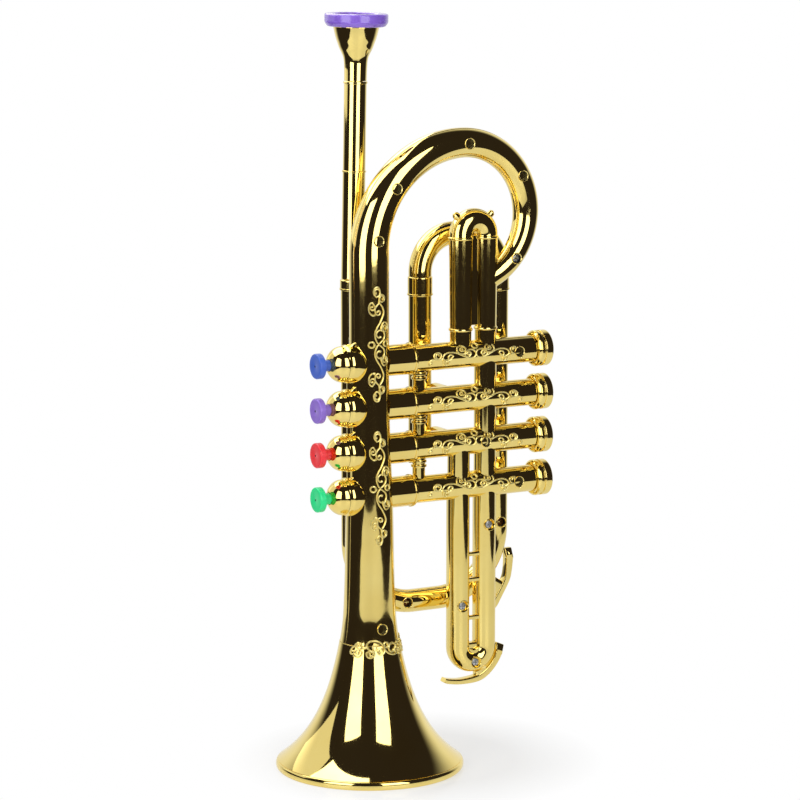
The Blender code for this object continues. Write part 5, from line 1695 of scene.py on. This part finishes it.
@dataclass
class Scrolls:
    """The raised scrollwork on the valve casings, the bell tube and the bell's joint.

    Each motif is drawn flat, across and up in millimetres, and laid on its wall.
    """

    tube: BellTube
    bell: Bell
    seats: list[Seat]
    half: float = 0.42
    band_half: float = 0.48
    lift: float = 0.1
    casing_middle: float = 60.6
    tube_middles: Flat = (229.4, 153.0)
    shy: float = 3.3
    casing_strokes: tuple[Stroke, ...] = (
        Stroke(((-13.9, 0.6), (-17.0, -1.6), (-20.1, -0.3), (-19.4, 1.6), (-16.7, 2.6), (-12.5, 2.3),
                (-8.4, 0.6), (-4.3, -0.9), (-1.2, -0.6), (0.0, 1.1), (-1.2, 3.0), (-3.9, 3.4), (-6.3, 2.3),
                (-6.5, 0.3), (-4.6, -0.3), (-3.2, 0.9)), (-4.5, 1.3), (-15.6, -0.3)),
        Stroke(((-6.2, 1.6), (-9.0, 1.3), (-11.0, 2.7), (-10.9, 4.8), (-8.6, 5.8), (-6.3, 4.9), (-6.2, 3.3),
                (-7.9, 2.8)), (-8.4, 3.9)),
        Stroke(((-20.7, -0.4), (-22.7, -0.6), (-25.1, 0.2), (-25.4, 2.0), (-23.4, 3.0), (-21.2, 2.3),
                (-21.4, 0.8)), (-23.2, 1.4)),
        Stroke(((-21.0, -0.7), (-24.8, -0.4), (-27.6, -0.7), (-28.6, -2.4)), (-27.4, -2.6)),
        Stroke(((-19.8, -1.2), (-19.4, -3.4), (-17.6, -4.4), (-16.2, -3.2)), (-17.6, -2.9)))
    tube_strokes: tuple[Stroke, ...] = (
        Stroke(((3.1, 2.3), (0, 0.35), (-1.6, 2.8), (-2.0, 5.8), (-0.7, 9.0), (1.3, 12.0), (3.2, 16.0),
                (2.8, 18.7), (1.3, 20.9), (0.4, 21.5), (-0.9, 20.6), (-2.0, 18.7), (-1.65, 16.4)),
               (-0.1, 16.9), (0.7, 4.9)),
        Stroke(((-2.1, 15.6), (-3.4, 15.3), (-5.0, 17.3), (-5.0, 20.4), (-3.6, 22.0), (-2.3, 20.4)),
               (-3.5, 19.3)),
        Stroke(((0.4, 21.5), (0.6, 24.4), (0.9, 27.5), (-0.2, 30.0), (-2.1, 29.6), (-2.7, 27.0),
                (-1.4, 25.0)), (-1.1, 27.5)),
        Stroke(((0.6, 24.4), (1.3, 26.2), (3.3, 25.3), (3.6, 23.1), (2.0, 22.2)), (2.2, 24.2)),
        Stroke(((1.6, 7.0), (1.8, 9.0), (3.3, 11.4), (5.8, 10.3), (5.9, 7.9), (4.3, 6.5)), (4.2, 8.5)))
    tube_rings: tuple[Flat, ...] = ((-3.8, -0.2), (4.75, 0.1))
    tube_ring: float = 1.5
    band_strokes: tuple[Stroke, ...] = (
        Stroke(((-9.0, 68.7), (-9.4, 69.9), (-7.7, 71.6), (-4.7, 72.0), (-1.7, 70.9), (-0.3, 69.1),
                (0.4, 67.2), (2.0, 65.4), (4.6, 64.2), (7.5, 64.3), (9.1, 65.7), (8.4, 67.5)), (5.0, 67.2)),
        Stroke(((-9.0, 68.7), (-7.7, 67.1), (-5.9, 66.8)), (-5.5, 68.5)),
        Stroke(((-5.9, 66.8), (-5.3, 65.2), (-5.9, 63.9), (-7.7, 63.3), (-9.2, 64.3), (-9.3, 65.8),
                (-8.0, 66.5)), (-7.3, 65.2)),
        Stroke(((0.4, 67.2), (-0.8, 65.2), (-2.8, 64.9), (-3.8, 66.6), (-2.6, 67.9)), (-2.2, 66.5)),
        Stroke(((-12.2, 68.1), (-10.6, 68.2), (-9.0, 68.7))),
        Stroke(((-18.4, 66.2), (-17.6, 67.8), (-16.4, 68.8), (-15.2, 70.3), (-13.8, 70.9), (-12.4, 70.2),
                (-12.0, 68.9)), (-13.6, 69.2), (-17.0, 66.0)),
        Stroke(((-16.0, 64.2), (-14.0, 63.6), (-12.2, 64.6), (-11.8, 66.4), (-13.2, 67.2)), (-13.9, 65.8)))
    band_ring: tuple[Flat, float] = ((1.4, 69.6), 1.3)
    band_turns: tuple[float, ...] = (0.0, 90.0, 180.0)
    # Radius at which a distance across becomes an angle round the joint.
    band_reach: float = 16.0

    def laid(self, flat: Array, wall: Callable[[Array, Array], Array], half: float) -> list[Surface]:
        """Lay one flat line on a wall, as wires that stop short of the screws.

        A wire thickens by six tenths towards its ends, falling off over a few points.

        Args:
            flat: Points across and up.
            wall: Turns across and up into points in space.
            half: Half the wire's thickness.

        Returns:
            A surface for each stretch that is clear of the screws.
        """
        points = wall(flat[:, 0], flat[:, 1])
        screws = np.array([(seat.x, seat.z) for seat in self.seats])
        off = np.linalg.norm(points[:, None, [0, 2]] - screws[None], axis=2).min(1)
        clear = (off > self.shy) | (points[:, 1] > 0)
        count = np.arange(len(points), dtype=float)
        size = half * (1 + 0.6 * (np.exp(-count / 2.5) + np.exp(-count[::-1] / 2.5)))
        cuts = np.flatnonzero(np.diff(clear.astype(int))) + 1
        return [wire(path, thick) for path, thick, kept in
                zip(np.split(points, cuts), np.split(size, cuts), np.split(clear, cuts))
                if kept[0] and len(path) > 3]

    def on_casing(self, height: float, across: Array, up: Array) -> Array:
        """Find points on a casing, where up is the arc from its near side.

        Args:
            height: Height of its axis.
            across: Distances along it from the scroll's middle.
            up: Distances up its wall.

        Returns:
            The points.
        """
        turn, radius = up / ValveBlock.radius, ValveBlock.radius + self.lift
        return np.stack([self.casing_middle + across, -radius * np.cos(turn),
                         height + radius * np.sin(turn)], -1)

    def on_tube(self, middle: float, across: Array, up: Array) -> Array:
        """Find points on the bell tube's near wall.

        Args:
            middle: Height of the scroll's middle.
            across: Distances to the right of the tube's axis.
            up: Distances above the middle.

        Returns:
            The points.
        """
        radius = self.tube.tube_radius(middle + up - self.tube.foot) + self.lift
        return np.stack([across, -np.sqrt(radius ** 2 - across ** 2), middle + up], -1)

    def on_joint(self, turn: float, across: Array, up: Array) -> Array:
        """Find points on the bell or, above its joint, on the tube.

        Args:
            turn: Angle of the scroll's middle from the near side.
            across: Distances round the wall.
            up: Heights.

        Returns:
            The points.
        """
        wall = np.where(up < self.tube.foot, self.bell.horn(up), self.tube.tube_radius(up - self.tube.foot))
        radius, angle = wall + self.lift, turn + across / self.band_reach
        return np.stack([radius * np.sin(angle), -radius * np.cos(angle), up], -1)

    def carve(self, name: str, flats: list[Array], walls: list[Callable[[Array, Array], Array]],
              half: float) -> None:
        """Make one piece of all the flat lines on each of its walls."""
        wires = [piece for wall in walls for flat in flats for piece in self.laid(flat, wall, half)]
        # The scroll wires get the gold with painted sheen.
        put_together(name, wires, finish=Finishes.RAISED_GOLD)

    def build(self) -> None:
        """Make the scrolls, those of the casings mirrored across and those of the tube up and down."""
        lines = [stroke.line() for stroke in self.casing_strokes]
        flats = lines + [line * (-1, 1) for line in lines] + [ring((0, 5.6), 1.6)]
        for number, height in enumerate(VALVES, start=1):
            self.carve(f"casing_scroll_{number}", flats, [partial(self.on_casing, height)], self.half)
        lines = [stroke.line() for stroke in self.tube_strokes]
        flats = lines + [line * (1, -1) for line in lines]
        flats += [ring(centre, self.tube_ring) for centre in self.tube_rings]
        self.carve("bell_tube_scrolls", flats,
                   [partial(self.on_tube, middle) for middle in self.tube_middles], self.half)
        flats = [stroke.line() for stroke in self.band_strokes] + [ring(*self.band_ring)]
        self.carve("bell_joint_scrolls", flats,
                   [partial(self.on_joint, math.radians(turn)) for turn in self.band_turns], self.band_half)


# Studio


@dataclass(frozen=True)
class Panel:
    """An upright softbox: its angle from the camera's direction, and sizes in metres.

    The glint is what its mirror image in the gold has on top of its radiance.
    """

    name: str
    azimuth: float
    width: float
    low: float
    high: float
    radiance: float
    glint: float = 0.0
    distance: float = 0.88


@dataclass
class Studio:
    """Floor, background, lamps and camera."""

    floor_colour: str = "#F4F4F4"
    floor_gloss: float = 0.22
    floor_lit: float = 1.0
    # Share of what the gold mirrors of the floor that is the lit board.
    floor_share: float = 0.5
    # How plain the camera sees the floor: a distance in metres from the axis, and a share.
    fade: tuple[Flat, Flat] = ((0.052, 0.55), (0.1, 1.0))
    room: Colour = (0.024, 0.019, 0.02, 1.0)
    backdrop: Colour = (0.88, 0.88, 0.88, 1.0)
    # Cosines of the angle from the backdrop at which the room is darkest and brightest.
    room_fade: Flat = (0.4, 0.85)
    ambient: float = 0.22
    right: float = 0.52
    left: float = 0.45
    front: float = 1.0
    back: float = 2.5
    camera_place: tuple[float, float, float] = (-844.7, -1589.6, 503.9)
    camera_turn: tuple[float, float, float] = (80.368, 0.0, -28.5)
    lens: float = 156.3
    panels: tuple[Panel, ...] = (Panel("left_softbox", -39.0, 0.538, 0.15, 0.9, 2.8, 1.9),
                                 Panel("right_softbox", 30.5, 0.52, 0.158, 1.1, 2.8, 1.5),
                                 Panel("far_left_softbox", -110.0, 0.78, 0.29, 1.15, 0.8))
    top_place: tuple[float, float, float] = (-0.064, 0.092, 0.82)
    top_size: float = 0.55
    top_radiance: float = 1.7
    canopy: tuple[float, float, float] = (-0.215, 0.155, 0.52)
    canopy_size: Flat = (0.37, 0.48)
    canopy_radiance: float = 3.0

    def away(self, azimuth: float) -> Vector:
        """Horizontal direction at an angle to the right of the one towards the camera."""
        turn = math.radians(self.camera_turn[2] - 90.0 + azimuth)
        return Vector((math.cos(turn), math.sin(turn), 0.0))

    def floor(self) -> None:
        """A glossy white board that the camera sees as white except where the object shades it.

        Towards its edges its look to the camera goes over to plain white, so no edge shows. In
        the gold's mirror it is as bright as a board under daylight.
        """
        mesh = bpy.data.meshes.new("floor")
        ahead, aside = self.away(0.0), self.away(90.0)
        corners = [ahead * toward + aside * right for toward, right in
                   ((self.front, -self.left), (self.front, self.right), (-self.back, self.right),
                    (-self.back, -self.left))]
        mesh.from_pydata([tuple(corner) for corner in corners], [], [(0, 1, 2, 3)])
        floor = placed("floor", mesh)
        material = bpy.data.materials.new("glossy_white_board")
        tree = fresh_tree(material)
        place = add_node(tree, "ShaderNodeTexCoord").outputs["Object"]
        grain = add_node(tree, "ShaderNodeTexNoise", {"Scale": per_mm(0.6), "Detail": 2.0}, {"Vector": place})
        bump = add_node(tree, "ShaderNodeBump", {"Strength": 0.1, "Distance": 0.05 * MM},
                        {"Height": grain.outputs["Fac"]})
        paper = add_node(tree, "ShaderNodeBsdfPrincipled",
                         {"Base Color": linear(self.floor_colour), "Roughness": self.floor_gloss},
                         {"Normal": bump.outputs["Normal"]})
        white = add_node(tree, "ShaderNodeEmission", {"Color": WHITE, "Strength": 1.0})
        lit = add_node(tree, "ShaderNodeEmission", {"Color": WHITE, "Strength": self.floor_lit})
        reach = add_node(tree, "ShaderNodeVectorMath", {"operation": "LENGTH"}, {0: place})
        (start, least), (end, most) = self.fade
        fade = add_node(tree, "ShaderNodeMapRange",
                        {"From Min": start, "From Max": end, "To Min": least, "To Max": most},
                        {"Value": reach.outputs["Value"]})
        ray = add_node(tree, "ShaderNodeLightPath").outputs
        plain = add_node(tree, "ShaderNodeMath", {"operation": "MULTIPLY"},
                         {0: fade.outputs["Result"], 1: ray["Is Camera Ray"]})
        shared = add_node(tree, "ShaderNodeMath", {"operation": "MULTIPLY", 1: self.floor_share},
                          {0: ray["Is Glossy Ray"]})
        shown = mixed(tree, plain.outputs["Value"], paper, white)
        mirrored = mixed(tree, shared.outputs["Value"], shown, lit)
        add_node(tree, "ShaderNodeOutputMaterial", links={"Surface": mirrored.outputs["Shader"]})
        mesh.materials.append(material)

    def world(self) -> None:
        """White behind the object and dim in front of it, as a studio with dark walls is.

        Seen by the camera it is plain white; what the gold mirrors gets darker with the angle
        from the backdrop's direction.
        """
        world = bpy.data.worlds.new("studio")
        tree = fresh_tree(world)
        ray = add_node(tree, "ShaderNodeLightPath").outputs
        way = add_node(tree, "ShaderNodeTexCoord").outputs["Generated"]
        turn = math.radians(self.camera_turn[2])
        facing = add_node(tree, "ShaderNodeVectorMath",
                          {"operation": "DOT_PRODUCT", 1: (-math.sin(turn), math.cos(turn), 0.0)}, {0: way})
        dark, bright = self.room_fade
        ramp = add_node(tree, "ShaderNodeMapRange",
                        {"From Min": dark, "From Max": bright, "interpolation_type": "SMOOTHSTEP"},
                        {"Value": facing.outputs["Value"]})
        room = add_node(tree, "ShaderNodeMix", {"data_type": "RGBA", MIX_A: self.room, MIX_B: self.backdrop},
                        {0: ramp.outputs["Result"]})
        mirror = add_node(tree, "ShaderNodeBackground", {"Strength": 1.0},
                          {"Color": room.outputs[MIX_RESULT]})
        plain = add_node(tree, "ShaderNodeBackground", {"Color": WHITE, "Strength": 1.0})
        ambient = add_node(tree, "ShaderNodeBackground", {"Color": WHITE, "Strength": self.ambient})
        shown = mixed(tree, ray["Is Camera Ray"], mixed(tree, ray["Is Glossy Ray"], ambient, mirror), plain)
        add_node(tree, "ShaderNodeOutputWorld", links={"Surface": shown.outputs["Shader"]})
        bpy.context.scene.world = world

    def light(self) -> None:
        """Hang upright softboxes round the front and one overhead, and the canopy that the gold mirrors.

        A lamp's power is its radiance times pi times its area. The glints light nothing: they are
        seen in the gold alone, and make a lamp's mirror image white where its light stays soft.
        """
        for panel in self.panels:
            away = self.away(panel.azimuth)
            place = away * panel.distance + Vector((0, 0, (panel.low + panel.high) / 2))
            size = (panel.width, panel.high - panel.low)
            self.softbox(panel.name, place, -away, size, panel.radiance)
            if panel.glint:
                self.softbox(panel.name + "_glint", place, -away, size, panel.glint).visible_diffuse = False
        down = Vector((0, 0, -1))
        self.softbox("top_softbox", Vector(self.top_place), down, (self.top_size, self.top_size),
                     self.top_radiance).visible_glossy = False
        right, back, height = self.canopy
        place = self.away(90.0) * right - self.away(0.0) * back + Vector((0, 0, height))
        canopy = self.softbox("canopy_glint", place, down, self.canopy_size, self.canopy_radiance)
        canopy.visible_diffuse = False

    def softbox(self, name: str, place: Vector, facing: Vector, size: Flat,
                radiance: float) -> bpy.types.Object:
        """Hang one softbox that the camera doesn't see.

        Args:
            name: Its name.
            place: Its middle in metres.
            facing: Direction that it shines in.
            size: Width and height in metres.
            radiance: What its mirror image measures.

        Returns:
            The lamp.
        """
        lamp = bpy.data.lights.new(name, "AREA")
        lamp.shape = "RECTANGLE"
        lamp.size, lamp.size_y = size
        lamp.energy = radiance * math.pi * size[0] * size[1]
        holder = placed(name, lamp)
        holder.location = place
        holder.rotation_euler = facing.to_track_quat("-Z", "Y").to_euler()
        if facing.z:
            holder.rotation_euler.z = math.radians(self.camera_turn[2])
        holder.visible_camera = False
        return holder

    def camera(self) -> None:
        """The camera at the photograph's place."""
        data = bpy.data.cameras.new("camera")
        data.lens, data.sensor_width = self.lens, 36.0
        holder = placed("camera", data)
        holder.location = np.array(self.camera_place) * MM + ORIGIN
        holder.rotation_euler = tuple(math.radians(angle) for angle in self.camera_turn)
        bpy.context.scene.camera = holder

    def build(self) -> None:
        """Set the stage."""
        self.floor()
        self.world()
        self.light()
        self.camera()
        bpy.context.scene.view_settings.view_transform = "Standard"


def main() -> None:
    """Build every sub-assembly, dress what stays of the CAD model, and set the stage."""
    logging.basicConfig(level=logging.INFO)
    tube, block, slides, far = BellTube(), ValveBlock(), Slides(), FarPlane()
    Bell().build()
    tube.build()
    block.build()
    slides.upper()
    slides.lower()
    far.build()
    Mouthpiece().build()
    Keys().build()
    Caps().build()
    seats = screw_seats(tube, block, slides, far)
    Screws().build(seats)
    Scrolls(tube, Bell(), seats).build()
    WaterKeys().build()
    for number in range(1, 5):
        dress(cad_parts[f"reed_plate_{number}"], Finishes.BRASS)
    Studio().build()


if __name__ == "__main__":
    main()
